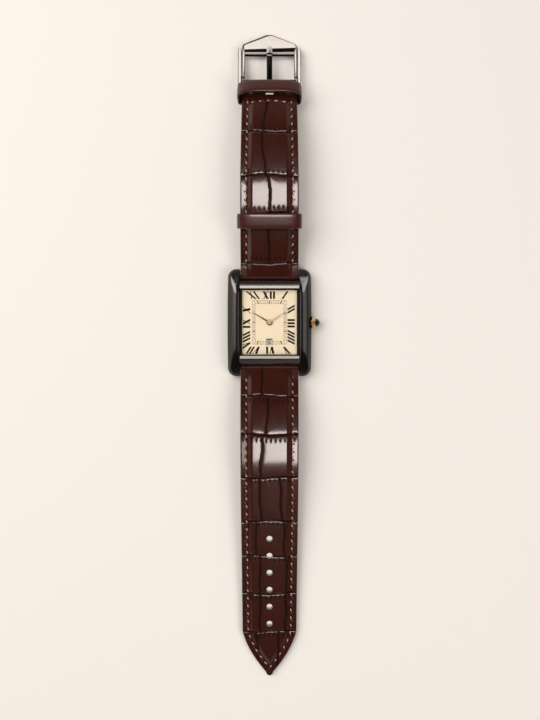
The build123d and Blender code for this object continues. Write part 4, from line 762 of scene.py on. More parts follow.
@dataclass
class StrapHalf:
    """One half of the strap as a closed leather shell with real creases, holes and stitches.

    Widths and thicks are pairs of run and half size. Each crease is a Y across the half, and each groove
    runs along it between two creases, as their two Ys and the two Xs of its ends.
    """

    name: str
    arcs: tuple[Arc, ...]
    direction: int
    widths: tuple[Point, ...]
    thicks: tuple[Point, ...]
    creases: tuple[float, ...]
    grooves: tuple[tuple[float, float, float, float], ...]
    seed: int
    fold: float = 2.0
    end_fold: float = 0.0
    row_step: float = 0.22

    @property
    def length(self) -> float:
        """Length of the centre line from the bar to the far end."""
        return sum(arc.length for arc in self.arcs)

    def line(self, run: Array, lift: Array) -> tuple[Array, Array]:
        """Y and Z of the centre line at a run from the bar, lifted square to it."""
        y = np.zeros_like(run)
        z = np.zeros_like(run)
        begun = 0.0
        for index, arc in enumerate(self.arcs):
            ended = begun + arc.length
            first, last = index == 0, index == len(self.arcs) - 1
            here = (first | (run >= begun)) & (last | (run < ended))
            arc_y, arc_z = arc.point(run - begun, lift)
            y = np.where(here, arc_y, y)
            z = np.where(here, arc_z, z)
            begun = ended
        return y, z

    def half_thickness(self, run: Array) -> Array:
        """Half thickness, with the round folds about the bars."""
        plain_half = np.interp(run, *zip(*self.thicks))
        nose = np.sqrt(np.clip(self.fold**2 - np.minimum(run, 0) ** 2, 0, None))
        made = np.where(run < 0, nose, plain_half)
        if self.end_fold:
            past = np.abs(run - self.length)
            bulge = np.sqrt(np.clip(self.end_fold**2 - past**2, 0, None))
            made = np.where(run > self.length, bulge, np.maximum(made, bulge))
        return made

    def half_width(self, run: Array) -> Array:
        """Half width in plan."""
        return np.interp(run, *zip(*self.widths))

    def crease_fields(self, x: Array, y: Array) -> tuple[Array, Array]:
        """Height that the creases, their pits, the grooves and the pillows between them make, and the
        painted shade laid in the creases and pits and along the grooves.
        """
        height = np.zeros_like(x)
        painted_shade = np.zeros_like(x)
        nearest = np.full_like(x, 9.0)
        for index, crease in enumerate(self.creases):
            phase = self.seed + 1.7 * index
            wave = 0.3 * np.sin(0.33 * x + phase) + 0.06 * np.sin(1.4 * x + 2.1 * phase)
            away = (y - crease - wave) * self.direction
            nearest = np.minimum(nearest, np.abs(away))
            cut = np.exp(-((away / CREASE_WIDTH) ** 2))
            cell = (x + 0.4 * math.sin(phase) + PIT_PITCH / 2) % PIT_PITCH - PIT_PITCH / 2
            pit = np.exp(-((cell / CREASE_WIDTH) ** 2) - ((away - PIT_OFFSET) / PIT_LENGTH) ** 2)
            height -= CREASE_DEPTH * cut + PIT_DEPTH * pit
            painted_shade = np.maximum(painted_shade, np.maximum(cut, SIDE_SHADE * pit))
        for index, (near, far, x_near, x_far) in enumerate(self.grooves):
            share = (y - near) / (far - near)
            wave = 0.18 * np.sin(0.6 * y + index) + 0.05 * np.sin(2.3 * y + 3 * index)
            away = x - (x_near + (x_far - x_near) * share) - wave
            inside = np.clip(np.minimum(share, 1 - share) * 14 + 0.6, 0, 1)
            nearest = np.minimum(nearest, np.abs(away) + 9 * (1 - inside))
            height -= GROOVE_DEPTH * np.exp(-((away / GROOVE_WIDTH) ** 2)) * inside
            painted_shade = np.maximum(painted_shade, SIDE_SHADE * np.exp(-((away / GROOVE_SHADE) ** 2)) * inside)
        return height - PILLOW * np.exp(-nearest), painted_shade

    def runs(self) -> Array:
        """Where the rows of the shell lie along the centre line."""
        bend = np.sin(np.linspace(0, QUARTER, 11))
        nose = -self.fold * np.cos(np.linspace(0, QUARTER, 11))
        if self.end_fold:
            stop = self.length
            tail = stop + self.end_fold * bend
        else:
            stop = self.length - TIP_ROWS
            tail = self.length - TIP_ROWS * (1 - np.sin(np.linspace(0, QUARTER, 13)))
        body = np.linspace(0, stop, int(stop / self.row_step))
        return np.concatenate([nose[:-1], body, tail[1:]])

    def section(self, column: Array, run: Array) -> tuple[Array, Array, Array]:
        """X, lift and how much of the croc relief applies, for a column of the loop at a run."""
        width = self.half_width(run)
        thick = self.half_thickness(run)
        far_fold = np.clip((run - self.length + 4.0) / 3.0, 0, 1) if self.end_fold else 0.0
        roundness = np.maximum(np.clip(1 - run / 3.5, 0, 1), far_fold)
        corner = np.minimum(EDGE_ROUND, width * 0.9)
        border = thick * (0.5 + 0.5 * roundness)
        sizes = (width, border, thick, corner, np.minimum(corner, (border + thick) * 0.3))
        right_x, right_lift = self.edge(column - TOP_FACES, *sizes)
        left_x, left_lift = self.edge(LOOP_FACES - column, *sizes)
        regions = [column <= TOP_FACES, column < UNDER_START, column <= UNDER_END]
        across = 2 * column / TOP_FACES - 1
        back = 1 - 2 * (column - UNDER_START) / UNDER_FACES
        x = np.select(regions, [across * (width - corner), right_x, back * (width - corner)], -left_x)
        inset = self.inset_of(x, run)
        rise = np.clip((inset - BORDER) / PAD_SLOPE, 0, 1)
        rise = rise * rise * (3 - 2 * rise)
        dome = PAD_DOME * np.clip(1 - (x / np.maximum(width, 0.01)) ** 2, 0, 1)
        pad = border + (thick - border) * rise + dome * rise
        lift = np.select(regions, [pad, right_lift, -thick], left_lift)
        relief = np.where(regions[0], np.clip(inset / 0.5, 0, 1), 0.0)
        relief = relief * np.clip((run + self.fold * 0.4) / 1.5, 0, 1)
        if self.end_fold:
            relief = relief * np.clip((self.length + 0.5 - run) / 1.5, 0, 1)
        return x, lift, relief

    @staticmethod
    def edge(
        step: Array, width: Array, border: Array, thick: Array, corner: Array, corner_up: Array
    ) -> tuple[Array, Array]:
        """X and lift round the painted edge, from the top border down to the lining."""
        past = step - CORNER_FACES
        turn = np.clip(step / CORNER_FACES, 0, 1) * QUARTER
        low_turn = np.clip((past - WALL_FACES) / CORNER_FACES, 0, 1) * QUARTER
        wall = np.clip(past / WALL_FACES, 0, 1)
        x = width - corner + corner * np.where(past <= 0, np.sin(turn), np.cos(low_turn))
        over = border - corner_up * (1 - np.cos(turn))
        beside = (border - corner_up) * (1 - wall) + (corner_up - thick) * wall
        under = corner_up - thick - corner_up * np.sin(low_turn)
        return x, np.select([past <= 0, past >= WALL_FACES], [over, under], beside)

    def inset_of(self, x: Array, run: Array) -> Array:
        """Distance in plan from the outline, which is what the stitches and the pad follow."""
        if self.end_fold:
            return self.half_width(run) - np.abs(x)
        best = np.full_like(x, 99.0)
        for (a_run, a_half), (b_run, b_half) in zip(self.widths, self.widths[1:]):
            along, out = b_run - a_run, b_half - a_half
            size = along**2 + out**2
            if size < 1e-9:
                continue
            share = np.clip(((run - a_run) * along + (np.abs(x) - a_half) * out) / size, 0, 1)
            gap = np.hypot(run - a_run - share * along, np.abs(x) - a_half - share * out)
            best = np.minimum(best, gap)
        return best

    def shell(self) -> Piece:
        """Lay the closed leather shell."""
        runs = self.runs()
        rows = len(runs) - 1
        fields: dict[str, Array] = {}

        def place(u: Array, v: Array) -> Array:
            """Turn shares round the loop and along the half into places."""
            run = np.interp(v * rows, np.arange(rows + 1), runs)
            x, lift, relief = self.section(np.round(u * LOOP_FACES), run)
            height, painted_shade = self.crease_fields(x, self.line(run, lift)[0])
            # Painted shade: the darkness of the creases is kept as the crease attribute that the leather's
            # colour reads
            fields["crease"] = np.clip(painted_shade * relief, 0, 1)
            return np.stack([x, *self.line(run, lift + height * relief)], axis=1)

        made = sheet_of(self.name, LOOP_FACES, rows, place, self.finish_of)
        crease_shade_layer = made.data.attributes.new("crease", "FLOAT", "POINT")
        crease_shade_layer.data.foreach_set("value", fields["crease"])
        weld(made, 0.004)
        edit(made, bpy.ops.mesh.dissolve_degenerate, threshold=0.002 * MM)
        close(made)
        outward(made)
        return made

    @staticmethod
    def finish_of(u: Array) -> Array:
        """Material slot round the loop: croc on top, paint on the edges, lining below."""
        column = u * LOOP_FACES
        regions = [column < TOP_FACES, (column > UNDER_START) & (column < UNDER_END)]
        return np.select(regions, [0, 2], 1).astype(np.int32)

    def stitch_path(self, stop: float) -> Outline:
        """Stitch line as x and run, down one side and, on a pointed half, round the tip and back."""
        runs = np.arange(STITCH_START, stop, 0.1)
        halves = self.half_width(runs)
        slopes = np.gradient(halves, runs)
        x = halves - STITCH_INSET * np.sqrt(1 + slopes**2)
        side = [(float(a), float(b)) for a, b in zip(x, runs) if a > 0.02]
        if self.end_fold:
            return side
        return side + [(-a, b) for a, b in reversed(side)]

    def stitches(self, lines: list[Outline], lifts: tuple[float, ...]) -> list[Piece]:
        """Sew stitches along lines of x and run, each between two needle holes of painted shade.

        Args:
            lines: the lines of x and run, in mm.
            lifts: for each line, its lift as a share of the half thickness.

        Returns:
            The thread and the painted shade of the needle holes.
        """
        ball = bmesh.new()
        bmesh.ops.create_uvsphere(ball, u_segments=10, v_segments=8, radius=1.0)
        pattern = bpy.data.meshes.new("stitch_pattern")
        ball.to_mesh(pattern)
        ball.free()
        jitter = random.Random(self.seed)
        threads, holes = [], []
        for outline, lift in zip(lines, lifts):
            points = np.array(outline)
            along = np.concatenate([[0], np.cumsum(np.hypot(*np.diff(points, axis=0).T))])
            for middle in np.arange(STITCH_PITCH * 0.6, along[-1] - STITCH_PITCH * 0.4, STITCH_PITCH):
                spots = np.array([middle - HALF_STITCH, middle + HALF_STITCH])
                x, run = (np.interp(spots, along, points[:, k]) for k in (0, 1))
                slant = SLANT * (1 + 0.3 * jitter.uniform(-1, 1))
                side = 1 if x.mean() >= 0 else -1
                x = x + side * slant * np.array([-1, 1])
                y, z = self.line(run, self.half_thickness(run) * lift + 0.1)
                a, b = (Vector((x[k], y[k], z[k])) * MM for k in (0, 1))
                thread = bpy.data.objects.new("stitch", pattern.copy())
                thread.rotation_mode = "QUATERNION"
                thread.rotation_quaternion = (b - a).to_track_quat("X", "Z")
                thread.location = (a + b) / 2
                thread.scale = ((b - a).length / 2, THREAD_WIDTH * MM, THREAD_HEIGHT * MM)
                # Painted shade: each needle hole is a small dark lens of edge paint at the surface beyond
                # the stitch
                hole = thread.copy()
                hole.data = pattern.copy()
                hole.location = b + (b - a) * 0.62 - Vector((0, 0, 0.1 * MM))
                hole.scale = (0.42 * MM, 0.3 * MM, 0.1 * MM)
                threads.append(thread)
                holes.append(hole)
        made = []
        for name, pieces, finish in (("stitches", threads, THREAD), ("needle_holes", holes, EDGE_PAINT)):
            for piece in pieces:
                bpy.context.scene.collection.objects.link(piece)
            made.append(join(f"{self.name}_{name}", pieces))
            settle()
            smooth(made[-1], 60)
            dress(made[-1], finish.material())
        return made

    def finished(self, cutters: list[Piece]) -> Piece:
        """Lay the shell, cut through it, paint the walls of the cuts and dress it."""
        shell = self.shell()
        for cutter in cutters:
            dress(cutter, EDGE_PAINT.material())
            cut = shell.modifiers.new("cut", "BOOLEAN")
            cut.object = cutter
            cut.operation = "DIFFERENCE"
            cut.solver = "EXACT"
            cut.material_mode = "TRANSFER"
        apply_modifiers(shell)
        close(shell)
        for cutter in cutters:
            bpy.data.objects.remove(cutter)
        crocodile = material_of("glazed_crocodile_grain", crocodile_look)
        dress(shell, crocodile, EDGE_PAINT.material(), LINING.material())
        smooth(shell, 50)
        return shell


@dataclass
class ShortHalf:
    """The half with the two keepers that carries the buckle."""

    start: Point = (16.2, 2.6)
    end: Point = (80.6, 3.0)
    rise: float = 6.0
    slot: Point = (2.6, 5.0)

    def half(self) -> StrapHalf:
        """The half's shape: one arc from bar to bar."""
        (y0, z0), (y1, z1) = self.start, self.end
        chord = math.dist(self.start, self.end)
        radius = chord**2 / (8 * self.rise) + self.rise / 2
        centre_y = (y0 + y1) / 2 - (radius - self.rise) * (z0 - z1) / chord
        centre_z = (z0 + z1) / 2 - (radius - self.rise) * (y1 - y0) / chord
        first, last = (math.asin((y - centre_y) / radius) for y in (y0, y1))
        arc = Arc((centre_y, centre_z), radius, first, last)
        return StrapHalf(
            name="strap_short",
            arcs=(arc,),
            direction=1,
            widths=((-2.0, 9.75), (arc.length / 2, 9.65), (arc.length + 2, 9.1)),
            thicks=((0.0, 2.0), (arc.length, 1.2)),
            creases=(19.8, 35.4, 47.9, 62.7),
            grooves=(
                (19.8, 33.0, -0.2, -0.2),
                (35.4, 47.9, 0.4, -0.2),
                (47.9, 62.7, -1.2, -2.7),
                (62.7, 73.0, -2.1, -0.8),
            ),
            seed=5,
            end_fold=1.45,
        )

    def build(self) -> list[Piece]:
        """Make the shell with its prong slot, and its stitches."""
        half = self.half()
        bpy.ops.mesh.primitive_cube_add(size=1.0, location=(0, (self.end[0] + 2.6) * MM, 3.0 * MM))
        cutter = bpy.context.active_object
        cutter.scale = (self.slot[0] * MM, (2 * self.slot[1] + 5.2) * MM, 12 * MM)
        settle()
        shell = half.finished([cutter])
        side = half.stitch_path(half.length - 4.2)
        across = [(float(x), 58.3 - 0.02 * float(x) ** 2) for x in np.arange(-7.2, 7.3, 0.1)]
        thread = half.stitches([side, [(-a, b) for a, b in side], across], (0.5, 0.5, 1.0))
        for piece in (shell, *thread):
            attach(piece, "strap_short")
        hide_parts("strap_short_upper", "strap_short_filler", "strap_short_lining")
        return [shell, *thread]


@dataclass
class LongHalf:
    """The half with the holes and the pointed tip: an arch, a hollow and a flat end."""

    start: Point = (-16.2, 2.6)
    arch_radius: float = 80.0
    arch_start: float = 18.0
    arch_end: float = 8.0
    tip_height: float = 1.1
    tip_overrun: float = 1.6
    tip_length: float = 15.0
    tip_round: float = 1.2
    shoulder: float = 9.15
    first_hole: float = -72.8
    hole_pitch: float = 5.85
    holes: int = 6
    hole_radius: float = 1.0

    def arcs(self) -> tuple[Arc, Arc, Arc]:
        """The three arcs of the centre line, each tangent to the last."""
        first, last = math.radians(self.arch_start), math.radians(self.arch_end)
        middle_y = self.start[0] - self.arch_radius * math.sin(first)
        middle_z = self.start[1] - self.arch_radius * math.cos(first)
        join_height = middle_z + self.arch_radius * math.cos(last)
        sweep = (join_height - self.tip_height) / (1 - math.cos(last))
        end_y = middle_y - (self.arch_radius + sweep) * math.sin(last)
        far = 100000.0
        return (
            Arc((middle_y, middle_z), self.arch_radius, first, -last),
            Arc((end_y, self.tip_height + sweep), sweep, -last, 0.0, bend=-1),
            Arc((end_y, self.tip_height - far), far, 0.0, -self.tip_overrun / far),
        )

    def half(self) -> StrapHalf:
        """The half's shape."""
        arcs = self.arcs()
        total = sum(arc.length for arc in arcs)
        corner = self.tip_round
        start, reach = total - self.tip_length, self.tip_length - corner
        bow = [
            (start + reach * s, self.shoulder + (corner - self.shoulder) * s + 4.37 * s * (1 - s))
            for s in np.linspace(0, 1, 25)
        ]
        nose = [
            (total - corner + corner * math.sin(a), corner * math.cos(a)) for a in np.linspace(0, QUARTER, 9)
        ]
        return StrapHalf(
            name="strap_long",
            arcs=arcs,
            direction=-1,
            widths=((-2.0, 9.75), (45.0, 9.65), *bow, *nose[1:]),
            thicks=((0.0, 2.0), (arcs[0].length, 1.1), (total, 1.1)),
            creases=(-24.75, -37.5, -51.8, -66.7, -78.6, -91.6, -104.6),
            grooves=(
                (-14.0, -24.75, -2.5, -2.5),
                (-24.75, -37.5, -0.2, -1.2),
                (-37.5, -51.8, -2.3, -3.1),
                (-51.8, -66.7, -3.6, -2.8),
                (-51.8, -66.7, 3.5, 4.1),
                (-66.7, -78.6, -4.6, -4.6),
                (-66.7, -78.6, 5.0, 5.0),
                (-78.6, -91.6, -3.2, -3.2),
                (-78.6, -91.6, 5.8, 5.8),
                (-91.6, -104.6, -3.2, -3.2),
                (-91.6, -104.6, 5.5, 5.5),
                (-104.6, -117.0, -4.5, -3.5),
                (-104.6, -117.0, 3.2, 2.6),
            ),
            seed=9,
        )

    def build(self) -> list[Piece]:
        """Make the shell with its punched holes, and its stitches."""
        half = self.half()
        punches = []
        for index in range(self.holes):
            place = (0, (self.first_hole - index * self.hole_pitch) * MM, 3 * MM)
            bpy.ops.mesh.primitive_cylinder_add(
                vertices=40, radius=self.hole_radius * MM, depth=16 * MM, location=place
            )
            punches.append(bpy.context.active_object)
            settle()
        shell = half.finished(punches)
        thread = half.stitches([half.stitch_path(half.length)], (0.5,))
        for piece in (shell, *thread):
            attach(piece, "strap_long")
        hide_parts("strap_long_upper", "strap_long_filler", "strap_long_lining")
        return [shell, *thread]


@dataclass
class SideBar:
    """Domed side bar of the case, from lug tip to lug tip, as one smoothly polished surface.

    Sizes in millimetres; side is 1 on the crown's side and -1 on the other.
    """

    side: int
    inner: float = 9.99
    half_width: float = 14.22
    bow: float = 0.256
    half_length: float = 18.12
    corner: float = 2.8
    belt: float = 2.7
    flank_slope: float = 2.35
    crest: float = 5.87
    crest_x: float = 10.9
    dome_curve: float = 0.165
    inner_height: float = 5.3
    inner_slope: float = 1.9
    fall_start: float = 9.0
    fall_length: float = 9.12
    fall_depth: float = 2.37
    fall_power: float = 1.9
    blend: float = 0.55
    thickness: float = 0.3

    def edge_x(self, y: Array) -> Array:
        """How far out the straight side is at each y, before the corners are rounded."""
        return self.half_width - self.bow * (y / self.half_length) ** 2

    def outline_x(self, y: Array) -> Array:
        """Outer edge at each y, with the rounded corners."""
        over = np.clip(np.abs(y) - (self.half_length - self.corner), 0, self.corner)
        return self.edge_x(y) - self.corner + np.sqrt(self.corner**2 - over**2)

    def inset(self, x: Array, y: Array) -> Array:
        """Distance inward from the outline."""
        across = x - (self.edge_x(y) - self.corner)
        along = np.abs(y) - (self.half_length - self.corner)
        outside = np.hypot(np.maximum(across, 0), np.maximum(along, 0))
        return self.corner - outside - np.minimum(np.maximum(across, along), 0)

    def merge(self, first: Array, second: Array) -> Array:
        """Lower of two surfaces with the edge between them rounded."""
        near = np.clip(1 - np.abs(first - second) / self.blend, 0, 1)
        return np.minimum(first, second) - near**2 * self.blend / 4

    def height(self, x: Array, y: Array) -> Array:
        """Height of the polished surface above each point."""
        flank = self.belt + self.flank_slope * self.inset(x, y)
        dome = self.crest - self.dome_curve * (x - self.crest_x) ** 2
        inside = self.inner_height + self.inner_slope * (x - self.inner)
        reach = np.abs(y)
        fall = np.clip((reach - self.fall_start) / self.fall_length, 0, 1)
        end = self.crest - self.fall_depth * fall**self.fall_power + 0.5 * np.clip((13.0 - reach) / 4, 0, 1)
        return self.merge(self.merge(self.merge(flank, dome), end), inside)

    def sink(self, case: Piece) -> None:
        """Lower the top of the case middle's copy below the polished surface."""
        for vertex in case.data.vertices:
            x, y, z = vertex.co.x / MM * self.side, vertex.co.y / MM, vertex.co.z / MM
            if x > self.inner and z > 3.2:
                top = float(self.height(np.array([x]), np.array([y]))[0]) - 0.08
                vertex.co.z = min(z, top) * MM

    def build(self) -> Piece:
        """Lay the surface and give it its thickness."""

        def place(u: Array, v: Array) -> Array:
            """Place of each grid point in mm."""
            y = self.half_length * np.sin((v * 2 - 1) * QUARTER)
            x = self.inner + (self.outline_x(y) - self.inner) * np.sin(u * QUARTER)
            return np.column_stack([x * self.side, y, self.height(x, y)])

        made = sheet_of(f"side_bar_{'right' if self.side > 0 else 'left'}", 40, 150, place)
        wall = made.modifiers.new("wall", "SOLIDIFY")
        wall.thickness = self.thickness * MM
        wall.offset = -self.side
        apply_modifiers(made)
        outward(made)
        smooth(made, 50)
        dress(made, BLACK_PLATING.material(), BLACK_FLANK_PAINTED_SHADE.material())
        # Painted shade: the steep faces of the side bar take the duller flank copy of the plating
        mark(made, lambda face: int(abs(face.normal.z) < 0.62))
        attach(made, "case")
        return made


def crystal_look(tree: Tree) -> Node:
    """Clear flat crystal that mirrors on its outer faces only."""
    ray = add_node(tree, "LightPath").outputs["Is Shadow Ray"]
    clear = add_node(tree, "BsdfTransparent", {"Color": srgb("ffffff")})
    gloss = add_node(tree, "BsdfGlossy", {"Color": srgb("ffffff"), "Roughness": 0.03})
    inner = add_node(tree, "NewGeometry").outputs["Backfacing"]
    outer = add_node(tree, "Math", {"0": 1.0, "1": inner}, {"operation": "SUBTRACT"})
    edge = add_node(tree, "Fresnel", {"IOR": 1.5})
    mirror = add_node(tree, "Math", {"0": edge, "1": outer}, {"operation": "MULTIPLY"})
    body = add_node(tree, "MixShader", {"0": mirror, "1": clear, "2": gloss})
    return add_node(tree, "MixShader", {"0": ray, "1": body, "2": clear})


@dataclass
class Case:
    """Hard outer pieces that take a polish, and the crystal with its ground bevels at 12 and 6."""

    nodes: tuple[str, ...] = ("case_middle", "case_back", "crown_cabochon")
    edges: Place = (0.16, 0.06, 0.04)

    def crystal(self) -> Piece:
        """Copy the crystal and give its slopes the pale metal of a painted reflection."""
        made = loose_copy("crystal", "crystal_glass")
        apply_modifiers(made)
        dress(made, material_of("mineral_crystal", crystal_look), BEVEL_PAINTED_REFLECTION.material())
        # Painted reflection: the sloped bevel faces at 12 and 6 take the pale metal
        mark(made, lambda face: int(0.3 < face.normal.z < 0.98 and abs(face.normal.y) > 0.1))
        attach(made, "case")
        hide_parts("crystal")
        return made

    def build(self) -> list[Piece]:
        """Round the edges of each piece and lay the side bars."""
        made = []
        for node, width in zip(self.nodes, self.edges):
            made.append(softened(node, width, SLOT_FINISHES[frame_slots[node]].material()))
        for bar in (SideBar(-1), SideBar(1)):
            bar.sink(made[0])
            made.append(bar.build())
        return [*made, self.crystal()]


@dataclass(frozen=True)
class Tilt:
    """A tilted frame in the Y-Z plane: u runs along the buckle, w stands square to it."""

    y: float
    z: float
    angle: float

    def at(self, x: float, u: float, w: float) -> Vector:
        """Place in metres of a point given in the frame, in mm."""
        c, s = math.cos(self.angle), math.sin(self.angle)
        return Vector((x, self.y + u * c + w * s, self.z - u * s + w * c)) * MM


@dataclass
class Buckle:
    """Pin buckle: two wings, an inner frame, the roof-shaped plate, the rest bar and the prong."""

    frame: Tilt = Tilt(80.6, 3.0, math.radians(6.81))
    prong: Tilt = Tilt(80.6, 3.0, math.radians(-2.3))

    def prism(self, name: str, outline: Outline, low: float, high: float, edge: float) -> Piece:
        """Raise an outline of x and u between two heights, round its edges and keep its flats flat."""
        shape = bmesh.new()
        under = [shape.verts.new(self.frame.at(x, u, low)) for x, u in outline]
        over = [shape.verts.new(self.frame.at(x, u, high)) for x, u in outline]
        shape.faces.new(under[::-1])
        shape.faces.new(over)
        for k in range(len(outline)):
            n = (k + 1) % len(outline)
            shape.faces.new((under[k], under[n], over[n], over[k]))
        made = solid_of(name, shape)
        round_edges(made, edge, 4, 30)
        shape = bmesh.new()
        shape.from_mesh(made.data)
        flats = [face for face in shape.faces if face.calc_area() > 4 * MM**2]
        bmesh.ops.inset_individual(shape, faces=flats, thickness=0.06 * MM)
        shape.to_mesh(made.data)
        shape.free()
        return made

    def polish(self, piece: Piece, painted_shade_top: bool = False) -> Piece:
        """Give a piece of the frame its painted light on the faces and painted shade in dark lines along its
        rounded rim.

        Args:
            piece: the piece of the frame.
            painted_shade_top: whether its whole top is painted shade, the dark rim around another piece.
        """
        dress(piece, STEEL_PAINTED_LIGHT.material(), STEEL_RIM_PAINTED_SHADE.material())
        up = Vector((0, math.sin(self.frame.angle), math.cos(self.frame.angle)))

        def finish_of(face: bpy.types.MeshPolygon) -> int:
            """1, painted shade, on the rim and on the far walls that face away, 0, painted light, elsewhere.
            """
            steep = face.normal.dot(up)
            end = face.center.y < (self.frame.y + 3.0) * MM
            # Painted shade: sloped rim faces and walls facing away take the dark copy
            rim = 0.25 < steep < (0.97 if face.normal.x < -0.1 else 0.86)
            shaded = steep < 0.86 and face.normal.y < -0.5 and not end
            return int(rim or shaded or (painted_shade_top and steep > 0.25))

        mark(piece, finish_of)
        return piece

    def frame_pieces(self) -> list[Piece]:
        """Wings, inner rails, ears, rest bar, plate and the plate's rim."""
        wing = [(9.45, -1.2), (9.45, 12.3), (9.75, 12.7), (10.3, 12.7), (10.65, 12.2), (10.65, -1.2)]
        rail = [(8.25, 1.9), (8.25, 11.6), (9.35, 13.6), (9.35, 1.9)]
        ear = [(9.3, 0.4), (9.3, 2.8), (10.65, 2.8), (10.65, 0.4)]
        rim = [(-9.2, 11.4), (9.2, 12.1), (9.2, 13.4), (8.7, 14.1), (1.0, 17.3), (-1.0, 17.3)]
        rim += [(-8.7, 14.1), (-9.2, 13.4)]
        plate = [(-8.75, 11.85), (8.95, 12.45), (8.95, 13.3), (8.5, 13.95), (0.9, 17.0), (-0.7, 16.8)]
        plate += [(-8.3, 13.7), (-8.75, 13.15)]
        bar = [(-8.7, 0.0), (-8.7, 0.74), (8.7, 0.74), (8.7, 0.0)]
        rows = [("wing", wing, -0.92, 0.92, 0.36), ("rail", rail, -0.92, 0.8, 0.36)]
        rows.append(("ear", ear, -0.85, 0.85, 0.3))
        made = []
        for side in (-1, 1):
            for name, outline, low, high, edge in rows:
                mirrored = [(x * side, u) for x, u in outline]
                made.append(self.polish(self.prism(name, mirrored, low, high, edge)))
        made.append(self.polish(lathe("rest", bar, lambda s, a, b: self.frame.at(s, 10.75 + a, b))))
        made.append(self.polish(self.prism("plate", plate, -0.5, 0.92, 0.14)))
        made.append(self.polish(self.prism("plate_rim", rim, -0.75, 0.78, 0.3), painted_shade_top=True))
        return made

    def build(self) -> list[Piece]:
        """Join the frame, turn the prong and dress both."""
        whole = join("buckle_frame_finish", self.frame_pieces())
        smooth(whole, 40)
        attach(whole, "buckle")
        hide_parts("buckle_frame")
        finger = [(0.95, 0.0), (0.95, 0.98), (9.2, 0.98), (9.5, 0.9), (9.7, 0.72), (9.95, 0.72)]
        finger += [(10.2, 0.9), (10.7, 1.03), (11.4, 1.03), (12.0, 0.86), (12.5, 0.5), (12.65, 0.0)]
        rod = lathe("prong_finger", finger, lambda s, a, b: self.prong.at(a, s, b))
        ring = [(-0.9, 0.82), (-0.9, 1.22), (0.9, 1.22), (0.9, 0.82), (-0.9, 0.82)]
        hub = lathe("prong_ring", ring, lambda s, a, b: self.prong.at(s, a, b))
        weld(hub)
        outward(hub)
        prong = join("buckle_prong_finish", [rod, hub])
        smooth(prong, 40)
        # Painted light and shade: the rod takes the dark steel copy, the ball and collar the pale one
        dress(prong, STEEL_PAINTED_SHADE.material(), STEEL_PAINTED_LIGHT.material())

        def finish_of(face: bpy.types.MeshPolygon) -> int:
            """1, painted light, on the ball and on the collar before it, 0, painted shade, on the rod
            elsewhere.
            """
            reach = (face.center.y / MM - self.prong.y) / math.cos(self.prong.angle)
            return int(reach > 10.15 or 8.7 < reach < 9.4)

        mark(prong, finish_of)
        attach(prong, "prong")
        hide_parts("buckle_prong")
        return [whole, prong]


@dataclass
class Keeper:
    """Leather loop that is domed over the strap, with its edges rounded."""

    node: str
    body: str
    place_y: float
    power: float
    half_thickness: float
    half_x: float = 10.48
    height: float = 7.0
    lean: float = 0.0
    shift: float = 0.0
    wall: float = 0.8
    length: float = 4.7

    def build(self) -> list[Piece]:
        """Sweep the band's rounded section round the loop."""
        arc = ShortHalf().half().arcs[0]
        turn = math.asin((self.place_y - arc.centre[0]) / arc.radius)
        tall = (self.height - self.wall) / 2
        middle = tall - (self.half_thickness + 0.45 + self.wall / 2)

        def place(u: Array, v: Array) -> Array:
            """Place of each grid point in mm."""
            c, s = np.cos(u * 2 * np.pi), np.sin(u * 2 * np.pi)
            power = np.where(s > 0, self.power, 8.0)
            size = (np.abs(c) ** power + np.abs(s) ** power) ** (-1 / power)
            out_x, out_lift = c * size * tall, s * size * self.half_x
            norm = np.hypot(out_x, out_lift)
            ring = v * 2 * np.pi
            square = (np.abs(np.cos(ring)) ** 5 + np.abs(np.sin(ring)) ** 5) ** -0.2
            off = self.wall / 2 * np.sin(ring) * square
            x = self.half_x * c * size + off * out_x / norm
            lift = tall * s * size + middle + off * out_lift / norm
            along = self.length / 2 * np.cos(ring) * square
            where = turn + (along + self.shift + self.lean * lift) / arc.radius
            reach = arc.radius + lift
            y, z = arc.centre[0] + reach * np.sin(where), arc.centre[1] + reach * np.cos(where)
            return np.column_stack([x, y, z])

        made = sheet_of(f"{self.node}_finish", 112, 28, place)
        weld(made, 0.004)
        outward(made)
        smooth(made, 60)
        dress(made, SMOOTH_LEATHER.material())
        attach(made, self.body)
        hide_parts(self.node)
        return [made]


class Side(Enum):
    """Side of the dial that a numeral stands on, with the band that its numerals fill, in mm."""

    TOP = (7.9, 10.45)
    RIGHT = (6.05, 8.5)
    BOTTOM = (8.2, 10.6)
    LEFT = (6.5, 9.0)

    def lay(self, along: float, out: float) -> Point:
        """Place of a point given along the reading line and out from the centre, in mm."""
        return {
            Side.TOP: (along, out),
            Side.RIGHT: (out, -along),
            Side.BOTTOM: (-along, -out),
            Side.LEFT: (-out, along),
        }[self]


def block(x0: float, y0: float, x1: float, y1: float) -> Outline:
    """Rectangle between two corners."""
    return [(x0, y0), (x1, y0), (x1, y1), (x0, y1)]


# Each numeral: its letters, its side, where it stands along it and how far it leans
NUMERALS = (
    ("XII", Side.TOP, -0.2, 0.0),
    ("I", Side.TOP, 5.2, 0.7),
    ("II", Side.RIGHT, -4.45, -0.55),
    ("III", Side.RIGHT, 0.3, 0.0),
    ("IIII", Side.RIGHT, 5.0, 0.5),
    ("V", Side.BOTTOM, -5.6, -0.6),
    ("VI", Side.BOTTOM, -0.25, 0.0),
    ("VII", Side.BOTTOM, 5.4, 0.62),
    ("VIII", Side.LEFT, -5.9, -0.5),
    ("IX", Side.LEFT, -0.35, 0.0),
    ("X", Side.LEFT, 4.2, 0.35),
    ("XI", Side.TOP, -5.6, -0.7),
)


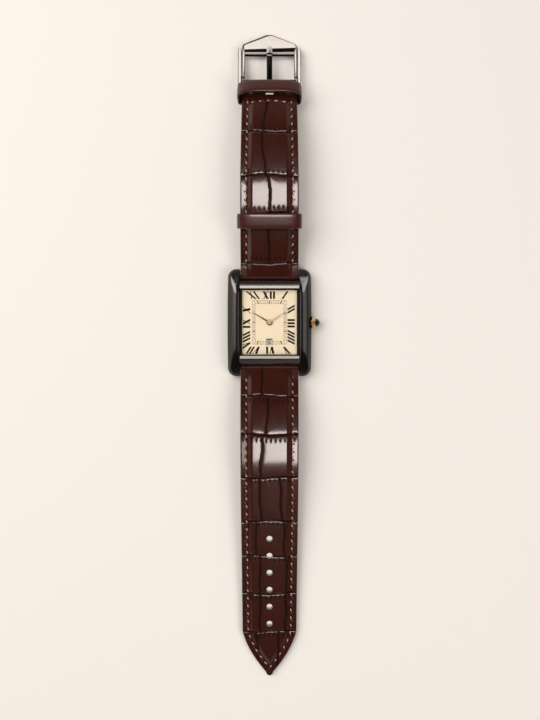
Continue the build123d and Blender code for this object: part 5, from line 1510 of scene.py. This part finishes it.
@dataclass
class DialPrint:
    """Numerals, rail track, date figure and the window's dark edge, all printed a hair thick."""

    face: float = 4.0
    ink: float = 0.02
    thick: float = 0.66
    thin: float = 0.24
    serif: float = 0.13
    gap: float = 0.22
    line: float = 0.07
    rim: float = 0.08
    track_inner: Point = (9.6, 12.6)
    track_outer: Point = (11.3, 14.65)
    window_y: float = -6.6
    window_half: Point = (1.0, 1.15)

    def letter(self, name: str, high: float) -> tuple[list[Outline], float]:
        """Strokes of one letter with its foot at zero, and its width."""
        thick, thin, serif = self.thick, self.thin, self.serif
        head = high - serif

        def stroke(x0: float, x1: float, width: float) -> Outline:
            """Straight stroke from the foot to the head."""
            half = width / 2
            return [(x0 - half, 0), (x0 + half, 0), (x1 + half, high), (x1 - half, high)]

        def bars(*rows: Place) -> list[Outline]:
            """Serifs, each from its middle, its half length and its height."""
            return [block(x - half, level, x + half, level + serif) for x, half, level in rows]

        if name == "I":
            x = thick / 2 + 0.1
            return [stroke(x, x, thick)], 2 * x
        if name == "V":
            left, foot, right = 0.42, 0.98, 1.55
            strokes = [stroke(foot, left, thick * 1.15), stroke(foot + 0.08, right, thin)]
            return strokes + bars((left, 0.42, head), (right, 0.3, head)), 1.9
        left, right = 0.42, 1.72
        strokes = [stroke(right, left, thick * 1.2), stroke(left, right, thin)]
        serifs = bars((left, 0.4, head), (right, 0.34, head), (left, 0.34, 0), (right, 0.4, 0))
        return strokes + serifs, 2.15

    def numeral(self, letters: str, side: Side, along: float, lean: float) -> list[Outline]:
        """Outlines of a numeral, laid in its side's band and leaned with it."""
        low, high = side.value
        tall = high - low
        outlines = []
        width = 0.0
        for name in letters:
            strokes, wide = self.letter(name, tall)
            outlines += [[(x + width, y) for x, y in stroke] for stroke in strokes]
            width += wide + self.gap
        shift = along - (width - self.gap) / 2
        return [[side.lay(x + shift + lean * (y - tall / 2), low + y) for x, y in row] for row in outlines]

    def frame_lines(self, size: Point) -> list[Outline]:
        """Four thin bars of a rectangle, broken where the date window is."""
        x, y, line = size[0] / 2, size[1] / 2, self.line
        made = [block(-x, y, x, y + line), block(-x - line, -y, -x, y), block(x, -y, x + line, y)]
        if abs(self.window_y) < y + line + 1.15:
            gap = self.window_half[0] + 0.06
            return made + [block(-x, -y - line, -gap, -y), block(gap, -y - line, x, -y)]
        return made + [block(-x, -y - line, x, -y)]

    def ticks(self) -> list[Outline]:
        """Sixty ticks of the rail track, each on the line from the centre."""
        made = []
        for minute in range(60):
            turn = math.radians(90 - 6 * minute)
            x, y = math.cos(turn), math.sin(turn)
            near, far = (
                min(size[0] / 2 / max(abs(x), 1e-9), size[1] / 2 / max(abs(y), 1e-9))
                for size in (self.track_inner, self.track_outer)
            )
            middle = (near + far) / 2
            beside = abs(middle * x) < self.window_half[0] + 0.15
            if beside and abs(middle * y - self.window_y) < 1.3:
                continue
            half = 0.17 if minute % 5 == 0 else 0.06
            ends = ((near, half), (far, half), (far, -half), (near, -half))
            made.append([(reach * x - off * y, reach * y + off * x) for reach, off in ends])
        return made

    def date_figure(self) -> Piece:
        """Figure of the day on the white ring below the window."""
        bpy.ops.object.text_add(location=(0, 0, 0))
        made = bpy.context.active_object
        made.name = "date_figure"
        made.data.body = "6"
        made.data.align_x = "CENTER"
        made.data.align_y = "CENTER"
        made.data.size = 2.1 * MM
        made.data.extrude = 0.01 * MM
        bpy.ops.object.convert(target="MESH")
        made = bpy.context.active_object
        levels = [vertex.co.y for vertex in made.data.vertices]
        lift = Vector((0, self.window_y * MM - (min(levels) + max(levels)) / 2, 3.412 * MM))
        for vertex in made.data.vertices:
            vertex.co += lift
        dress(made, GREY_INK.material())
        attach(made, "date_disc")
        return made

    def build(self) -> list[Piece]:
        """Print the dial."""
        numerals = [outline for row in NUMERALS for outline in self.numeral(*row)]
        track = self.frame_lines(self.track_inner) + self.frame_lines(self.track_outer) + self.ticks()
        x, y = self.window_half
        low, high = self.window_y - y, self.window_y + y
        rims = [block(-x - self.rim, low, -x, high), block(x, low, x + self.rim, high)]
        base, top = self.face - 0.005, self.face + self.ink
        made = []
        for name, outlines, drop, finish in (
            ("dial_numerals", numerals, 0.0, BLACK_INK),
            ("dial_track", track, 0.004, TRACK_INK),
            ("date_window_rim", rims, 0.002, RIM_GREY),
        ):
            made.append(slab(name, outlines, base, top - drop))
            dress(made[-1], finish.material())
            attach(made[-1], "case")
        return [*made, self.date_figure()]


@dataclass
class Hand:
    """One hand: a hub with a tapered blade that is ridged along its middle."""

    node: str
    body: str
    finish: Finish
    length: float
    root: float
    tip: float
    angle: float
    base: float
    thick: float = 0.12
    ridge: float = 0.07
    hub: float = 1.0
    hole: float = 0.38
    cap: bool = False

    def outline(self) -> bmesh.types.BMesh:
        """Draw the hand pointing to 12, in mm: a ring of five circles, then the blade."""
        shape = bmesh.new()
        edge = self.thick * 0.75
        turns = np.linspace(0, 2 * math.pi, 49)[:-1]
        levels = [(self.hub, 0.0), (self.hub, edge), (self.hub * 0.8, self.thick)]
        levels += [(self.hole, self.thick), (self.hole, 0.0)]
        rings = [[shape.verts.new((r * math.sin(t), r * math.cos(t), z)) for t in turns] for r, z in levels]
        for outer, inner in zip(rings, [*rings[1:], rings[0]]):
            for k in range(len(turns)):
                n = (k + 1) % len(turns)
                shape.faces.new((outer[k], outer[n], inner[n], inner[k]))
        half, tip, far = self.root / 2, self.tip / 2, self.length
        near = math.sqrt(self.hub**2 - half**2) * 0.93
        corners = [(-half, near), (-tip, far), (tip, far), (half, near)]
        a, b, c, d = (shape.verts.new((x, y, 0.0)) for x, y in corners)
        e, f, g, h = (shape.verts.new((x, y, edge)) for x, y in corners)
        root = shape.verts.new((0, near, self.thick + self.ridge))
        end = shape.verts.new((0, far, edge + 0.01))
        for face in ((a, b, c, d), (a, e, f, b), (d, c, g, h), (e, root, end, f), (h, g, end, root)):
            shape.faces.new(face)
        shape.faces.new((b, f, end, g, c))
        shape.faces.new((a, d, h, root, e))
        return shape

    def hub_cap(self) -> Piece:
        """Turn the domed cap that closes the hub, in the pale gold of a painted highlight, with painted
        shade inked into its shallow pin hole.
        """
        low = self.base + self.thick
        profile = [(-0.02, 0.0), (-0.02, 0.5), (0.08, 0.46), (0.15, 0.3), (0.17, 0.15)]
        profile += [(0.14, 0.13), (0.14, 0.0)]
        cap = lathe(f"{self.node}_cap", profile, lambda s, a, b: Vector((a, b, low + s)) * MM)
        smooth(cap, 40)
        dress(cap, HUB_GOLD_PAINTED_LIGHT.material(), BLACK_INK.material())
        pin_shade_reach = 0.14 * MM
        # Painted shade: the up-facing faces within the pin hole take black ink
        mark(cap, lambda face: int(face.normal.z > 0 and math.hypot(*face.center[:2]) < pin_shade_reach))
        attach(cap, self.body)
        return cap

    def build(self) -> list[Piece]:
        """Turn the hand to its hour and dress it."""
        made = solid_of(f"{self.node}_finish", self.outline())
        made.location = (0, 0, self.base * MM)
        made.scale = (MM, MM, MM)
        made.rotation_euler = (0, 0, -math.radians(self.angle))
        pick(made)
        settle()
        smooth(made, 25)
        dress(made, self.finish.material(), HUB_GOLD_PAINTED_LIGHT.material(), HAND_GOLD_PAINTED_SHADE.material())

        def finish_of(face: bpy.types.MeshPolygon) -> int:
            """0 on the blade, 1 on the hub's top, a painted highlight, and 2 on the crescent of painted
            shade along it.
            """
            reach = math.hypot(face.center.x, face.center.y) / MM
            if reach >= self.hub or face.normal.z <= 0.5:
                return 0
            return 2 if reach > 0.82 * self.hub and face.center.y < 0.1 * MM else 1

        mark(made, finish_of)
        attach(made, self.body)
        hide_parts(self.node)
        return [made, self.hub_cap()] if self.cap else [made]


@dataclass
class Crown:
    """Crown with a rim of round beads."""

    base: float = 14.35
    disc: float = 0.75
    height: float = 2.45
    radius: float = 1.95
    beads: int = 24
    bead: float = 0.29

    def build(self) -> list[Piece]:
        """Set the beads round the softened disc."""
        body = softened("crown", 0.08, GOLD.material(), 30)
        x = self.base + self.disc / 2 - 0.1
        reach = self.radius - self.bead * 0.55
        rim = []
        for index in range(self.beads):
            turn = 2 * math.pi * index / self.beads
            place = (x * MM, reach * math.cos(turn) * MM, (self.height + reach * math.sin(turn)) * MM)
            bpy.ops.mesh.primitive_uv_sphere_add(segments=16, ring_count=10, radius=1.0, location=place)
            bead = bpy.context.active_object
            bead.scale = ((self.disc / 2 + 0.04) * MM, self.bead * MM, self.bead * MM)
            bead.rotation_euler = (turn, 0, 0)
            rim.append(bead)
        made = join("crown_beads", rim)
        settle()
        bpy.ops.object.shade_smooth()
        dress(made, GOLD.material())
        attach(made, "crown_and_stem")
        return [body, made]


MAKERS = [
    Case(),
    DialPrint(),
    Hand("hour_hand", "hour_pipe", HAND_GOLD_PAINTED_SHADE, 5.9, 0.5, 0.24, 300.3, 4.22),
    Hand("minute_hand", "minute_arbor", PALE_GOLD_PAINTED_LIGHT, 6.2, 0.36, 0.12, 56.6, 4.52, hub=0.84, cap=True),
    Crown(),
    Buckle(),
    Keeper("free_keeper", "loose_keeper", 33.4, 5.0, 1.79),
    Keeper("fixed_keeper", "strap_short", 76.1, 3.2, 1.26, length=4.3, lean=0.14, shift=0.3),
    ShortHalf(),
    LongHalf(),
]


def main() -> None:
    """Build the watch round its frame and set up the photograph."""
    logging.basicConfig(level=logging.INFO, format="%(message)s")
    for node, thing in frame["nodes"].items():
        finish = SLOT_FINISHES.get(frame_slots[node])
        if finish:
            dress(thing, finish.material())
    for maker in MAKERS:
        pieces = maker.build()
        LOG.info("%s: %d pieces", type(maker).__name__, len(pieces))
    PhotoStage().build()


if __name__ == "__main__":
    main()
